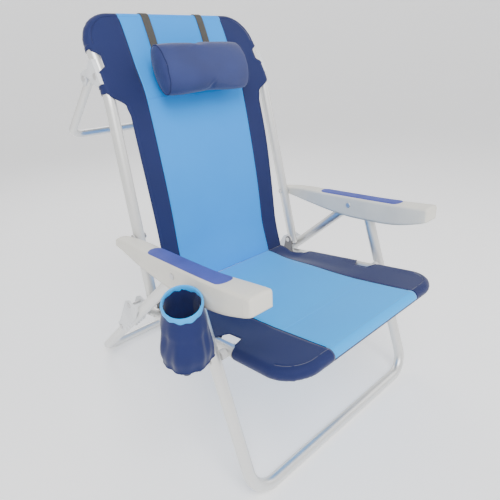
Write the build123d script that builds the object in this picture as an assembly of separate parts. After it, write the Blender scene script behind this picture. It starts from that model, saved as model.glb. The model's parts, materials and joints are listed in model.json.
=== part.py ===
from build123d import *
import math
import os

os.makedirs("parts", exist_ok=True)

# A folding low beach chair. Millimetres, +Z up, the sitter faces -Y.
# The origin is on the floor, below the middle of the front floor bar.
# Every side view below is drawn as (y, z) and every moving axis runs along X.

# ---------------------------------------------------------------- tubes
TUBE_R = 12.7
TUBE_WALL = 1.2
LEAN_GAP = 0.5            # flat washer to a tube that leans
RUN_GAP = 0.08            # a pivot shaft in its hole, all round
SKIN_GAP = 0.4            # fabric to the tube that it passes
PLUG_LIP = 2.5            # plastic tube plug, the part outside the tube
PLUG_DEPTH = 14.0
PLUG_GAP = 0.1

# ---------------------------------------------------------------- seat
SEAT_HALF = 237.0         # centre of a side tube from the middle
SEAT_FRONT_Y = -66.0
SEAT_REAR_Y = 408.0
SEAT_Z0 = 306.9           # height of the tube centre above the origin
SEAT_SLOPE = 0.133        # fall for each millimetre to the rear
SEAT_BEND_R = 56.0
FRONT_PIVOT_Y = 96.3
SEAT_BAR_Y = 328.0        # cross bar under the rear of the seat
SEAT_BAR_R = 8.0

# ---------------------------------------------------------------- back
BACK_PIVOT = (371.5, 303.0)
BACK_LEAN = 11.42         # degrees from upright, lower stretch
BACK_TOP_LEAN = 28.4      # degrees from upright, above the bend
BACK_PIVOT_HALF = 241.9   # centre of the tube from the middle, at the pivot
BACK_BEND_HALF = 223.9
BACK_TOP_HALF = 221.0
BACK_TAIL = 15.0          # tube below the pivot
BACK_BEND_LENGTH = 451.0  # pivot to bend, along the tube
BACK_TOP_LENGTH = 166.0   # bend to top bar
BACK_BEND_R = 160.0
BACK_CORNER_R = 60.0
ARM_PIVOT_LENGTH = 145.8  # pivot to armrest pivot, along the tube

# ---------------------------------------------------------------- legs
FRONT_HALF = 276.0
FRONT_TOP_Z = 430.0       # height of its pin in the armrest
FRONT_SLOPE = 0.3421      # run to the rear for each millimetre up
REAR_FLOOR_Y = 683.7
REAR_FLOOR_HALF = 264.6
REAR_TOP_HALF = 273.6
REAR_SLOPE = 1.1637
REAR_TOP_Z = 443.0
LEG_BEND_R = 52.0
LEG_END = 6.0             # tube beyond its pivot

# ---------------------------------------------------------------- motion
FOLD_MAX = 85.0
RECLINE_MAX = 30.0
FRONT_RATIO = 0.99        # each to the seat, for each degree of the back
ARM_RATIO = -0.06
REAR_RATIO = 0.28

# ---------------------------------------------------------------- armrest
ARM_IN = 249.5
ARM_OUT = 291.5
ARM_TAIL_IN = 253.0
ARM_TAIL_OUT = 285.0
ARM_FRONT_Y = -32.0
ARM_REAR_Y = 424.0
ARM_WALL = 2.5
ARM_TOP = ((ARM_FRONT_Y, 480.0), (90.0, 469.0), (260.0, 461.0), (370.0, 456.5), (ARM_REAR_Y, 450.0))
ARM_BOTTOM = ((ARM_REAR_Y, 436.5), (300.0, 423.0), (190.0, 412.5), (70.0, 418.0), (ARM_FRONT_Y, 448.0))
ARM_EDGE_R = 3.0
ARM_TAPER = 124.0         # the stretch at the rear where it narrows
ARM_NOSE = 9.0            # corner cut in plan
ARM_OPEN = 30.0           # the hollow's cutter below the skirts
ARM_EDGE_Z = 446.0        # edges above this are rounded
ARM_PLATE = ((-24.0, -11.0), (20.0, 16.0))      # corners of the front pin's plate, from the pin
ARM_SLOT = ((-13.0, -5.0), (8.0, 8.0))
ARM_PLATE_T = 2.0
ARM_RIVETS = ((-19.0, 11.0), (14.5, 11.0))
ARM_RIVET_LENGTH = 3.2
INLAY_Y0 = 36.0
INLAY_Y1 = 296.0
INLAY_MARGIN = 4.0
INLAY_SINK = 1.6
INLAY_PROUD = 0.6
INLAY_FIT = 0.15
INLAY_END_FLAT = 3.0

# ---------------------------------------------------------------- fasteners
BOLT_R = 3.2
RIVET_R = 2.4
HEAD_R = 6.5
HEAD_T = 2.2
HEAD_CHAMFER = 0.8
TAIL_R = 4.2              # riveted tail where there is little room
SPACER_R = 10.0
STRAP_T = 2.5
STRAP_W = 19.0
STRAP_FOOT = 9.0          # its foot above and below the seat tube's centre
STRAP_RIVET_Y = 10.45     # its rivets each side of the pivot

# ---------------------------------------------------------------- rack on the rear leg
RACK_TEETH = 4
RACK_PITCH = 21.0
RACK_IN = 255.5           # inner face of the inner cheek
RACK_OUT = 288.0
RACK_CHEEK = 3.0
RACK_TAIL_T = 98.0        # from the stud at rest, along the leg
RACK_TIE_RIVET = (-22.0, 26.0)
RACK_TAIL_RIVET = (88.0, 2.0)
RACK_CREST = ((-45.0, 16.0), (-31.0, 36.0), (-11.0, 41.0), (40.0, 27.0), (78.0, 17.0),
              (98.0, 17.0), (98.0, -9.0))
RACK_FIRST_TOOTH = 16.0   # from the tail
RACK_ROOT = -6.0
RACK_TIP = -14.0
RACK_TOOTH = 0.35         # share of the pitch for a flank and for a tip
RACK_HEEL = (-41.0, -2.0)
RACK_WEB = 17.5           # top of the web over the leg
GROOVE_DEPTH = 1.2
GROOVE_GAP = 1.5          # round the stud
GROOVE_STEPS = 8
STUD_R = 4.5
STUD_GAP = 0.5            # end of the stud to the cheek
STUD_DEPTH = 8.0          # stud inside the tube

# ---------------------------------------------------------------- towel bar
TOWEL_R = 9.5
TOWEL_WALL = 1.0
TOWEL_CLAMP_S = 43.0      # bracket's rivet above the bend, along the top stretch
TOWEL_PIVOT_S = 67.0
TOWEL_PIVOT_BACK = 54.0   # behind the tube
TOWEL_HALF = 222.5
TOWEL_LENGTH = 228.0
TOWEL_ANGLE = -37.5       # degrees below level, to the rear
TOWEL_BEND_R = 34.0
BRACKET_CHEEK = 3.0
BRACKET_FIT = 0.1         # saddle to the back tube
BRACKET_WEB = 8.0         # the web behind the tube
BRACKET_EYE = 6.0         # plastic round the towel bar's pivot
BRACKET_EYE_TURNS = (118.0, 70.0, 22.0, -26.0, -74.0, -122.0, -170.0)
BRACKET_UPPER = ((31.0, -11.7), (36.0, 2.0), (29.0, 20.7))      # from its rivet: along, behind
BRACKET_LOWER = ((-8.0, 18.7), (-21.0, 7.0), (-23.0, -11.7))

# ---------------------------------------------------------------- fabric
CLOTH_T = 3.0
SEAT_CLOTH_HALF = 190.0   # between the tubes
SEAT_CLOTH_REAR_Y = 356.0
SEAT_SLEEVE_END_Y = 285.0
NOTCH_AHEAD = 22.0        # the sling's notch each side of the leg's pivot
NOTCH_BEHIND = 40.0
NOTCH_SLANT = 9.0
NOTCH_HALF_GAIN = 20.0
BACK_CLOTH_HALF = 189.0
BACK_CLOTH_S0 = 6.0
BACK_NECK = 52.0          # the narrow stretch above the tab, and how far it stands in
BACK_NECK_IN = 22.0
BACK_CAP = 34.0           # the corner cut off at the top bar
LAP = 1.0                 # strips of cloth into each other
TAB_S0 = 455.0            # side tab of the back, along the tube from the pivot
TAB_S1 = 490.0
PILLOW_W = 240.0
PILLOW_H = 106.0
PILLOW_D = 62.0
PILLOW_S = 486.0          # its centre above the pivot
PILLOW_GAP = 5.0
ELASTIC_X = 75.0
ELASTIC_W = 20.0
ELASTIC_T = 1.5
ELASTIC_GAP = 0.2

# ---------------------------------------------------------------- cup holder
CUP_R = 40.0
CUP_WALL = 2.5
CUP_Y = 112.0
CUP_TOP_Z = 432.0
CUP_DEPTH = 132.0
CUP_GAP = 0.6             # pouch to the armrest
CUP_RIM = 6.0             # depth of the bound hem
SNAP_R = 6.0
SNAP_APART = 11.0         # each from the pouch's middle
SNAP_DOWN = 18.0


CLEAR = 200.0             # a cutter's reach past what it cuts
ABOVE_ALL = 600.0         # height of a column through an armrest

# ================================================================ side-view places
def unit(degrees):
    """Direction in the (y, z) plane at an angle above +Y."""
    return math.cos(math.radians(degrees)), math.sin(math.radians(degrees))


def step(point, direction, length):
    return point[0] + direction[0] * length, point[1] + direction[1] * length


def turned(point, centre, degrees):
    c, s = unit(degrees)
    dy = point[0] - centre[0]
    dz = point[1] - centre[1]
    return centre[0] + c * dy - s * dz, centre[1] + s * dy + c * dz


def seat_point(y):
    return y, SEAT_Z0 - SEAT_SLOPE * y


SEAT_TILT = -math.degrees(math.atan(SEAT_SLOPE))
BACK_DIR = unit(90.0 - BACK_LEAN)
BACK_TOP_DIR = unit(90.0 - BACK_TOP_LEAN)
BACK_BEND = step(BACK_PIVOT, BACK_DIR, BACK_BEND_LENGTH)
BACK_TOP = step(BACK_BEND, BACK_TOP_DIR, BACK_TOP_LENGTH)
ARM_PIVOT = step(BACK_PIVOT, BACK_DIR, ARM_PIVOT_LENGTH)
FRONT_PIVOT = seat_point(FRONT_PIVOT_Y)
FRONT_PIN = (FRONT_SLOPE * (FRONT_TOP_Z - TUBE_R), FRONT_TOP_Z)
REAR_PIN = (REAR_FLOOR_Y - REAR_SLOPE * (REAR_TOP_Z - TUBE_R), REAR_TOP_Z)
REAR_ANGLE = -math.degrees(math.atan2(1.0, REAR_SLOPE))
REAR_DIR = unit(REAR_ANGLE)
REAR_UP = unit(REAR_ANGLE + 90.0)
FRONT_ANGLE = math.degrees(math.atan2(1.0, FRONT_SLOPE))
STUD = seat_point(SEAT_REAR_Y - 6.0)
REAR_LEG_SPAN = math.hypot(REAR_FLOOR_Y - REAR_PIN[0], REAR_TOP_Z - TUBE_R)


def back_half(length):
    """Half width of the back's tubes at a length above the pivot."""
    if length <= BACK_BEND_LENGTH:
        return BACK_PIVOT_HALF + (BACK_BEND_HALF - BACK_PIVOT_HALF) * length / BACK_BEND_LENGTH
    return BACK_BEND_HALF + (BACK_TOP_HALF - BACK_BEND_HALF) * (length - BACK_BEND_LENGTH) / BACK_TOP_LENGTH


def back_place(length, ahead=0.0):
    """A (y, z) on the back's line, or ahead of it towards the sitter."""
    if length <= BACK_BEND_LENGTH:
        base = step(BACK_PIVOT, BACK_DIR, length)
        along = BACK_DIR
    else:
        base = step(BACK_BEND, BACK_TOP_DIR, length - BACK_BEND_LENGTH)
        along = BACK_TOP_DIR
    return step(base, (-along[1], along[0]), ahead)


def rear_half(z):
    """Half width of the rear leg at a height."""
    return REAR_FLOOR_HALF + (REAR_TOP_HALF - REAR_FLOOR_HALF) * (z - TUBE_R) / (REAR_TOP_Z - TUBE_R)


def stud_in_leg(fold):
    """Where the seat's stud is beside the rear leg at a fold: along from its pin, and above it."""
    arm = turned(ARM_PIVOT, BACK_PIVOT, fold)
    pin = turned(REAR_PIN, ARM_PIVOT, ARM_RATIO * fold)
    pin = (pin[0] - ARM_PIVOT[0] + arm[0], pin[1] - ARM_PIVOT[1] + arm[1])
    along = unit(REAR_ANGLE + REAR_RATIO * fold)
    dy = STUD[0] - pin[0]
    dz = STUD[1] - pin[1]
    return dy * along[0] + dz * along[1], -dy * along[1] + dz * along[0]


# ================================================================ shared shapes
ON_BASE = (Align.CENTER, Align.CENTER, Align.MIN)
UNDER_BASE = (Align.CENTER, Align.CENTER, Align.MAX)


def tube(points, radii, radius, wall=0.0):
    """A round tube along straight runs and bends, or a solid bar where the wall is 0."""
    path = FilletPolyline(*points, radius=radii)
    start = Plane(origin=path @ 0, z_dir=path % 0)
    section = Circle(radius) - Circle(radius - wall) if wall else Circle(radius)
    return sweep(start * section, path=path)


def rod(y, z, x0, x1, radius):
    """A round bar along X."""
    place = Pos(min(x0, x1), y, z) * Rot(0, 90, 0)
    return place * Cylinder(radius, abs(x1 - x0), align=ON_BASE)


def bolt(y, z, x0, x1, radius, tail_r=HEAD_R):
    """A shaft from x0 to x1, with a head beyond x0 and a riveted tail beyond x1, or none at 0."""
    out = 1.0 if x1 > x0 else -1.0
    shape = rod(y, z, x0, x1, radius) + chamfered(y, z, x0, x0 - out * HEAD_T, HEAD_R)
    if tail_r > 0.0:
        shape += chamfered(y, z, x1, x1 + out * HEAD_T, tail_r)
    return shape


def chamfered(y, z, x0, x1, radius):
    """A round head along X whose far edge is chamfered."""
    head = rod(y, z, x0, x1, radius)
    edge = head.edges().filter_by(GeomType.CIRCLE).sort_by(Axis.X)
    return chamfer(edge[-1] if x1 > x0 else edge[0], HEAD_CHAMFER)


def side_plate(points, x0, x1):
    """A flat plate cut to a (y, z) outline, between two values of x."""
    face = Plane.YZ * make_face(Polyline(*points, close=True))
    return Pos(min(x0, x1), 0, 0) * extrude(face, abs(x1 - x0), dir=(1, 0, 0))


def both(shape):
    """The same shape on both sides of the chair."""
    return shape + mirror(shape, about=Plane.YZ)


def end_plug(centre, towards, half, radius, wall, lean=0.0):
    """A plastic plug in a tube's end: a lip outside it and a stem inside. The lean is outwards."""
    place = Plane(origin=(half, *centre), z_dir=(lean, *towards))
    lip = place * Cylinder(radius, PLUG_LIP, align=ON_BASE)
    rim = lip.edges().filter_by(GeomType.CIRCLE).sort_by(Axis(place.origin, place.z_dir))[-1]
    stem = place * Cylinder(radius - wall - PLUG_GAP, PLUG_DEPTH, align=UNDER_BASE)
    return chamfer(rim, PLUG_LIP / 2) + stem


def save(name, shape):
    export_step(shape, f"parts/{name}.step")


# ================================================================ seat
def seat_frame():
    rear = seat_point(SEAT_REAR_Y)
    front = seat_point(SEAT_FRONT_Y)
    points = [(-SEAT_HALF, *rear), (-SEAT_HALF, *front), (SEAT_HALF, *front), (SEAT_HALF, *rear)]
    frame = tube(points, [SEAT_BEND_R] * 2, TUBE_R, TUBE_WALL)
    hole = rod(*FRONT_PIVOT, SEAT_HALF - 2 * TUBE_R, SEAT_HALF + 2 * TUBE_R, BOLT_R)
    for place in strap_rivet_places():
        hole += rod(*place, SEAT_HALF - 2 * TUBE_R, SEAT_HALF + 2 * TUBE_R, RIVET_R)
    bar = seat_point(SEAT_BAR_Y)
    hole += rod(*bar, SEAT_HALF - 2 * TUBE_R, SEAT_HALF, SEAT_BAR_R)
    return frame - both(hole + lock_stud())


def seat_cross_bar():
    y, z = seat_point(SEAT_BAR_Y)
    end = SEAT_HALF - TUBE_R + TUBE_WALL
    return rod(y, z, -end, end, SEAT_BAR_R) - rod(y, z, -end, end, SEAT_BAR_R - TUBE_WALL)


def strap_rivet_places():
    """Two rivets fasten each hinge strap to the seat tube."""
    return [seat_point(BACK_PIVOT[0] + dy) for dy in (-STRAP_RIVET_Y, STRAP_RIVET_Y)]


def hinge_strap():
    """A steel strap on the inner side: up from the seat tube to the back's pivot."""
    low = seat_point(BACK_PIVOT[0])
    inner = SEAT_HALF - TUBE_R
    foot = [(low[0] - STRAP_W, low[1] - STRAP_FOOT), (low[0] + STRAP_W, low[1] - STRAP_FOOT),
            (low[0] + STRAP_W, low[1] + STRAP_FOOT), (BACK_PIVOT[0] + STRAP_W / 2, BACK_PIVOT[1]),
            (BACK_PIVOT[0] - STRAP_W / 2, BACK_PIVOT[1]), (low[0] - STRAP_W, low[1] + STRAP_FOOT)]
    plate = side_plate(foot, inner - STRAP_T, inner)
    plate += rod(*BACK_PIVOT, inner - STRAP_T, inner, STRAP_W / 2)
    for place in strap_rivet_places():
        plate -= rod(*place, inner - 2 * STRAP_T, inner + STRAP_T, RIVET_R)
    return plate - rod(*BACK_PIVOT, inner - 2 * STRAP_T, inner + STRAP_T, BOLT_R)


def hinge_washer():
    """A washer that fills from the strap to the back tube."""
    inner = SEAT_HALF - TUBE_R
    tube_inner = BACK_PIVOT_HALF - TUBE_R - LEAN_GAP
    return rod(*BACK_PIVOT, inner, tube_inner, SPACER_R) - rod(*BACK_PIVOT, inner - 1, tube_inner + 1, BOLT_R)


def strap_rivets():
    inner = SEAT_HALF - TUBE_R - STRAP_T
    shapes = [bolt(*place, inner, SEAT_HALF + TUBE_R - TUBE_WALL, RIVET_R, tail_r=0.0)
              for place in strap_rivet_places()]
    return both(shapes[0] + shapes[1])


def hinge_bolts():
    """The back's pivot bolts: a head on the strap, a flush end at the tube's outer side."""
    inner = SEAT_HALF - TUBE_R - STRAP_T
    outer = BACK_PIVOT_HALF + TUBE_R - LEAN_GAP
    return both(bolt(*BACK_PIVOT, inner, outer, BOLT_R, tail_r=0.0))


def seat_plugs():
    """Plugs in the seat tube's rear ends, bored for the lock studs."""
    end = seat_point(SEAT_REAR_Y)
    back = unit(SEAT_TILT)
    plug = end_plug(end, back, SEAT_HALF, TUBE_R, TUBE_WALL)
    return both(plug - lock_stud())


def lock_stud():
    return rod(*STUD, SEAT_HALF + TUBE_R - STUD_DEPTH, RACK_IN - STUD_GAP, STUD_R)


def lock_studs():
    """Short studs in the seat tubes' rear ends, standing out towards the racks."""
    return both(lock_stud())


def front_spacers():
    """Round spacers between the seat tubes and the front legs."""
    outer = FRONT_HALF - TUBE_R - LEAN_GAP
    ring = rod(*FRONT_PIVOT, SEAT_HALF + TUBE_R, outer, SPACER_R)
    return both(ring - rod(*FRONT_PIVOT, SEAT_HALF, outer + 1, BOLT_R))


def front_pivot_bolts():
    return both(bolt(*FRONT_PIVOT, SEAT_HALF - TUBE_R, FRONT_HALF + TUBE_R + LEAN_GAP, BOLT_R))


def seat_fabric():
    """The seat sling: wide over the front corners and behind the leg pivots, narrow at the rear."""
    tilt = unit(SEAT_TILT)
    up = unit(SEAT_TILT + 90.0)
    low = TUBE_R + SKIN_GAP
    front = SEAT_FRONT_Y - TUBE_R
    wide = SEAT_HALF + TUBE_R
    notch_front = FRONT_PIVOT_Y - NOTCH_AHEAD
    notch_rear = FRONT_PIVOT_Y + NOTCH_BEHIND
    notch = SEAT_CLOTH_HALF + NOTCH_HALF_GAIN
    outline = [(0.0, front), (wide - SEAT_BEND_R, front), (wide, front + SEAT_BEND_R), (wide, notch_front),
               (notch, notch_front + NOTCH_SLANT), (notch, notch_rear - NOTCH_SLANT),
               (wide, notch_rear), (wide, SEAT_SLEEVE_END_Y),
               (SEAT_CLOTH_HALF, SEAT_SLEEVE_END_Y + NOTCH_HALF_GAIN),
               (SEAT_CLOTH_HALF, SEAT_CLOTH_REAR_Y), (0.0, SEAT_CLOTH_REAR_Y)]
    plane = Plane(origin=(0, 0, SEAT_Z0), x_dir=(1, 0, 0), z_dir=(0, *up))
    right = make_face(Polyline(*[(x, y / tilt[0]) for x, y in outline], close=True))
    face = right + mirror(right, about=Plane.YZ)
    return plane * Pos(0, 0, low) * extrude(face, CLOTH_T)


# ================================================================ back
def back_route():
    """The back tube's corners and their radii, from the left end over the top to the right end."""
    low = step(BACK_PIVOT, BACK_DIR, -BACK_TAIL)
    points = [(-back_half(-BACK_TAIL), *low), (-BACK_BEND_HALF, *BACK_BEND), (-BACK_TOP_HALF, *BACK_TOP)]
    points += [(-x, y, z) for x, y, z in reversed(points)]
    return points, [BACK_BEND_R, BACK_CORNER_R, BACK_CORNER_R, BACK_BEND_R]


def back_frame():
    frame = tube(*back_route(), TUBE_R, TUBE_WALL)
    reach = 2 * TUBE_R
    hole = rod(*BACK_PIVOT, BACK_PIVOT_HALF - reach, BACK_PIVOT_HALF + reach, BOLT_R + RUN_GAP)
    hole += rod(*ARM_PIVOT, arm_pivot_half() - reach, arm_pivot_half() + reach, BOLT_R)
    clamp = bracket_clamp_place()
    hole += rod(*clamp, TOWEL_HALF - reach, TOWEL_HALF + reach, RIVET_R)
    return frame - both(hole)


def arm_pivot_half():
    return back_half(ARM_PIVOT_LENGTH)


def back_plugs():
    low = step(BACK_PIVOT, BACK_DIR, -BACK_TAIL)
    down = (-BACK_DIR[0], -BACK_DIR[1])
    lean = (BACK_PIVOT_HALF - BACK_BEND_HALF) / BACK_BEND_LENGTH
    plug = end_plug(low, down, back_half(-BACK_TAIL), TUBE_R, TUBE_WALL, lean)
    bore = rod(*BACK_PIVOT, BACK_PIVOT_HALF - 2 * TUBE_R, BACK_PIVOT_HALF + 2 * TUBE_R, BOLT_R + 1.0)
    return both(plug - bore)


def arm_pivot_bolts():
    """Bolts from the back tube into the armrest's inner skirt."""
    inner = arm_pivot_half() - TUBE_R - LEAN_GAP
    outer = arm_skirt_in(ARM_PIVOT[0]) + ARM_WALL + LEAN_GAP
    return both(bolt(*ARM_PIVOT, inner, outer, BOLT_R, TAIL_R))


def arm_pivot_spacers():
    inner = arm_pivot_half() + TUBE_R + LEAN_GAP
    outer = arm_skirt_in(ARM_PIVOT[0]) - LEAN_GAP
    ring = rod(*ARM_PIVOT, inner, outer, SPACER_R - 1.0)
    return both(ring - rod(*ARM_PIVOT, inner - 1, outer + 1, BOLT_R))


def back_fabric():
    """The back sling: narrow between the tubes, then wide over the tab and the top corners."""
    ahead = TUBE_R + SKIN_GAP

    def strip(low, high, half):
        """One flat stretch of the sling from one length to the next."""
        corners = [(low, ahead), (high, ahead), (high, ahead + CLOTH_T), (low, ahead + CLOTH_T)]
        return side_plate([back_place(*corner) for corner in corners], -half, half)

    top = BACK_BEND_LENGTH + BACK_TOP_LENGTH + TUBE_R
    wide = BACK_TOP_HALF + TUBE_R
    neck_end = TAB_S1 + BACK_NECK
    lower = strip(BACK_CLOTH_S0, BACK_BEND_LENGTH, BACK_CLOTH_HALF)
    fill = strip(BACK_BEND_LENGTH + LAP, TAB_S0 + LAP, BACK_CLOTH_HALF)
    knee = strip(BACK_BEND_LENGTH - LAP, BACK_BEND_LENGTH + LAP, BACK_CLOTH_HALF)
    tab = strip(TAB_S0, TAB_S1, wide)
    neck = strip(TAB_S1 - LAP, neck_end + LAP, wide - BACK_NECK_IN)
    head = strip(neck_end, top - BACK_CAP, wide)
    cap = strip(top - BACK_CAP - LAP, top, wide - BACK_CAP)
    return lower + knee + fill + tab + neck + head + cap


def elastic_straps():
    """Two elastic bands down the front of the sling, from the top bar to behind the pillow."""
    front = TUBE_R + SKIN_GAP + CLOTH_T + ELASTIC_GAP
    low = TAB_S0 + LAP
    top = BACK_BEND_LENGTH + BACK_TOP_LENGTH + TUBE_R + LAP
    corners = [(low, front), (top, front), (top, front + ELASTIC_T), (low, front + ELASTIC_T)]
    outline = [back_place(*corner) for corner in corners]
    return both(side_plate(outline, ELASTIC_X - ELASTIC_W / 2, ELASTIC_X + ELASTIC_W / 2))


# ================================================================ towel bar and its brackets
def bracket_place(along, behind):
    """A (y, z) counted from the back's bend, along its top stretch and behind it."""
    return step(step(BACK_BEND, BACK_TOP_DIR, along), (BACK_TOP_DIR[1], -BACK_TOP_DIR[0]), behind)


def towel_pivot():
    return bracket_place(TOWEL_PIVOT_S, TOWEL_PIVOT_BACK)


def bracket_clamp_place():
    return bracket_place(TOWEL_CLAMP_S, 0.0)


def towel_bracket():
    """A moulded saddle on the back tube whose two cheeks reach back to hold the towel bar."""
    pivot = towel_pivot()
    clamp = bracket_clamp_place()
    rim = TOWEL_R + BRACKET_EYE
    outline = [(TOWEL_CLAMP_S + ds, behind) for ds, behind in BRACKET_UPPER]
    for turn in BRACKET_EYE_TURNS:
        away, side = unit(turn)
        outline.append((TOWEL_PIVOT_S + rim * side, TOWEL_PIVOT_BACK + rim * away))
    outline += [(TOWEL_CLAMP_S + ds, behind) for ds, behind in BRACKET_LOWER]
    half = TUBE_R + BRACKET_CHEEK
    body = side_plate([bracket_place(*p) for p in outline], TOWEL_HALF - half, TOWEL_HALF + half)
    web = TUBE_R + BRACKET_WEB
    slot = [(CLEAR, web), (CLEAR, CLEAR), (-CLEAR, CLEAR), (-CLEAR, web)]
    body -= side_plate([bracket_place(*p) for p in slot], TOWEL_HALF - TUBE_R, TOWEL_HALF + TUBE_R)
    body -= tube(*back_route(), TUBE_R + BRACKET_FIT)
    reach = half + 1.0
    body -= rod(*clamp, TOWEL_HALF - reach, TOWEL_HALF + reach, RIVET_R)
    body -= rod(*pivot, TOWEL_HALF - reach, TOWEL_HALF + reach, RIVET_R)
    return body


def bracket_rivets():
    half = TUBE_R + BRACKET_CHEEK
    clamp = bolt(*bracket_clamp_place(), TOWEL_HALF - half, TOWEL_HALF + half, RIVET_R)
    pivot = bolt(*towel_pivot(), TOWEL_HALF - half, TOWEL_HALF + half, RIVET_R)
    return both(clamp + pivot)


def towel_bar():
    pivot = towel_pivot()
    along = unit(TOWEL_ANGLE)
    start = step(pivot, along, -LEG_END)
    end = step(pivot, along, TOWEL_LENGTH)
    points = [(-TOWEL_HALF, *start), (-TOWEL_HALF, *end), (TOWEL_HALF, *end), (TOWEL_HALF, *start)]
    bar = tube(points, [TOWEL_BEND_R] * 2, TOWEL_R, TOWEL_WALL)
    return bar - both(rod(*pivot, TOWEL_HALF - 2 * TOWEL_R, TOWEL_HALF + 2 * TOWEL_R, RIVET_R + RUN_GAP))


def towel_plugs():
    pivot = towel_pivot()
    along = unit(TOWEL_ANGLE)
    start = step(pivot, along, -LEG_END)
    plug = end_plug(start, (-along[0], -along[1]), TOWEL_HALF, TOWEL_R, TOWEL_WALL)
    bore = rod(*pivot, TOWEL_HALF - 2 * TOWEL_R, TOWEL_HALF + 2 * TOWEL_R, RIVET_R + 1.0)
    return both(plug - bore)


# ================================================================ pillow
def pillow():
    """A bolster with a lens-shaped section, plain and closed."""
    ahead = TUBE_R + SKIN_GAP + CLOTH_T + ELASTIC_T + PILLOW_GAP + PILLOW_D / 2
    lean = (BACK_LEAN + BACK_TOP_LEAN) / 2
    centre = back_place(PILLOW_S, ahead)
    place = Plane(origin=(0, *centre), x_dir=(0, *unit(90.0 - lean)), z_dir=(1, 0, 0))
    section = place * Ellipse(PILLOW_H / 2, PILLOW_D / 2)
    return extrude(section, PILLOW_W / 2, both=True)


# ================================================================ armrests
def arm_skirt_in(y):
    """Inner face of the armrest at a place along it."""
    start = ARM_REAR_Y - ARM_TAPER
    if y <= start:
        return ARM_IN
    return ARM_IN + (ARM_TAIL_IN - ARM_IN) * (y - start) / (ARM_REAR_Y - start)


def arm_block(inset):
    """The armrest's outer form, drawn in by an inset on every side but the bottom."""
    top = [(y, z - inset) for y, z in ARM_TOP]
    top[0] = (top[0][0] + inset, top[0][1])
    top[-1] = (top[-1][0] - inset, top[-1][1])
    drop = ARM_OPEN if inset else 0.0
    bottom = [(y, z - drop) for y, z in ARM_BOTTOM]
    bottom[0] = (bottom[0][0] - inset, bottom[0][1])
    bottom[-1] = (bottom[-1][0] + inset, bottom[-1][1])
    side = side_plate(top + bottom, ARM_IN, ARM_OUT)
    start = ARM_REAR_Y - ARM_TAPER
    nose = ARM_NOSE
    front = ARM_FRONT_Y + inset
    rear = ARM_REAR_Y - inset
    main = (ARM_IN + inset, ARM_OUT - inset)
    tail = (ARM_TAIL_IN + inset, ARM_TAIL_OUT - inset)
    plan = [(main[0] + nose, front), (main[1] - nose, front), (main[1], front + nose), (main[1], start),
            (tail[1], rear - nose), (tail[1] - nose, rear), (tail[0] + nose, rear), (tail[0], rear - nose),
            (main[0], start), (main[0], front + nose)]
    return side & extrude(make_face(Polyline(*plan, close=True)), ABOVE_ALL)


def armrest_shell():
    """A moulded shell, open below, with pivot holes and a shallow bed for the inlay."""
    outer = arm_block(0.0)
    lowest = ARM_BOTTOM[0][1] + ARM_WALL
    upper = outer.edges().filter_by_position(Axis.Z, lowest, ABOVE_ALL)
    outer = fillet([e for e in upper if e.center().Z > ARM_EDGE_Z and not along_x(e)], ARM_EDGE_R)
    shell = outer - arm_block(ARM_WALL)
    shell -= inlay_block(2 * INLAY_SINK, INLAY_FIT)
    middle = (ARM_IN + ARM_OUT) / 2
    shell -= rod(*ARM_PIVOT, 0.0, middle, BOLT_R + RUN_GAP)
    shell -= rod(*REAR_PIN, 0.0, 2 * middle, BOLT_R)
    return shell


def along_x(edge):
    """Whether an edge runs across the armrest."""
    size = edge.bounding_box().size
    return size.X > size.Y + size.Z


def top_line(y):
    """Height of the armrest's top at a place along it."""
    for (y0, z0), (y1, z1) in zip(ARM_TOP, ARM_TOP[1:]):
        if y0 <= y <= y1:
            return z0 + (z1 - z0) * (y - y0) / (y1 - y0)
    raise ValueError("outside the armrest")


def inlay_block(proud, grow=0.0):
    """The inlay's own form: a long pad with rounded ends on the armrest's top."""
    inner = ARM_IN + INLAY_MARGIN - grow
    outer = ARM_OUT - INLAY_MARGIN + grow
    knots = [INLAY_Y0 - grow] + [y for y, _ in ARM_TOP if INLAY_Y0 < y < INLAY_Y1] + [INLAY_Y1 + grow]
    low = [(y, top_line(y) - INLAY_SINK) for y in knots]
    high = [(y, top_line(y) + proud) for y in reversed(knots)]
    side = side_plate(low + high, inner, outer)
    width = outer - inner
    length = INLAY_Y1 - INLAY_Y0 + 2 * grow
    place = Pos((inner + outer) / 2, (INLAY_Y0 + INLAY_Y1) / 2, 0)
    plan = RectangleRounded(width, length, width / 2 - INLAY_END_FLAT)
    return side & place * extrude(plan, ABOVE_ALL)


def armrest_inlay():
    return inlay_block(INLAY_PROUD)


def rear_pin_bolts():
    """Bolts that carry the rear leg's tops, through both skirts."""
    return both(bolt(*REAR_PIN, ARM_IN, ARM_OUT, BOLT_R))


def arm_bracket():
    """A steel plate inside the inner skirt, slotted for the front leg's pin."""
    inner = ARM_IN + ARM_WALL
    y, z = FRONT_PIN

    def block(low, high, x1):
        """A block between two corners that are counted from the pin, out to x1."""
        corners = [(low[0], low[1]), (high[0], low[1]), (high[0], high[1]), (low[0], high[1])]
        return side_plate([(y + dy, z + dz) for dy, dz in corners], inner, x1)

    plate = block(*ARM_PLATE, inner + ARM_PLATE_T) - block(*ARM_SLOT, inner + 2 * ARM_PLATE_T)
    for place in arm_rivet_places():
        plate -= rod(*place, 0.0, inner + 2 * ARM_PLATE_T, RIVET_R)
    return plate


def arm_bracket_rivets():
    inner = ARM_IN + ARM_WALL
    front, rear = [rod(*place, inner, inner + ARM_RIVET_LENGTH, RIVET_R) for place in arm_rivet_places()]
    return both(front + rear)


def arm_rivet_places():
    return [(FRONT_PIN[0] + dy, FRONT_PIN[1] + dz) for dy, dz in ARM_RIVETS]


# ================================================================ cup holder, left side
def cup_centre():
    return -(ARM_OUT + CUP_GAP + CUP_R + CUP_WALL)


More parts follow.
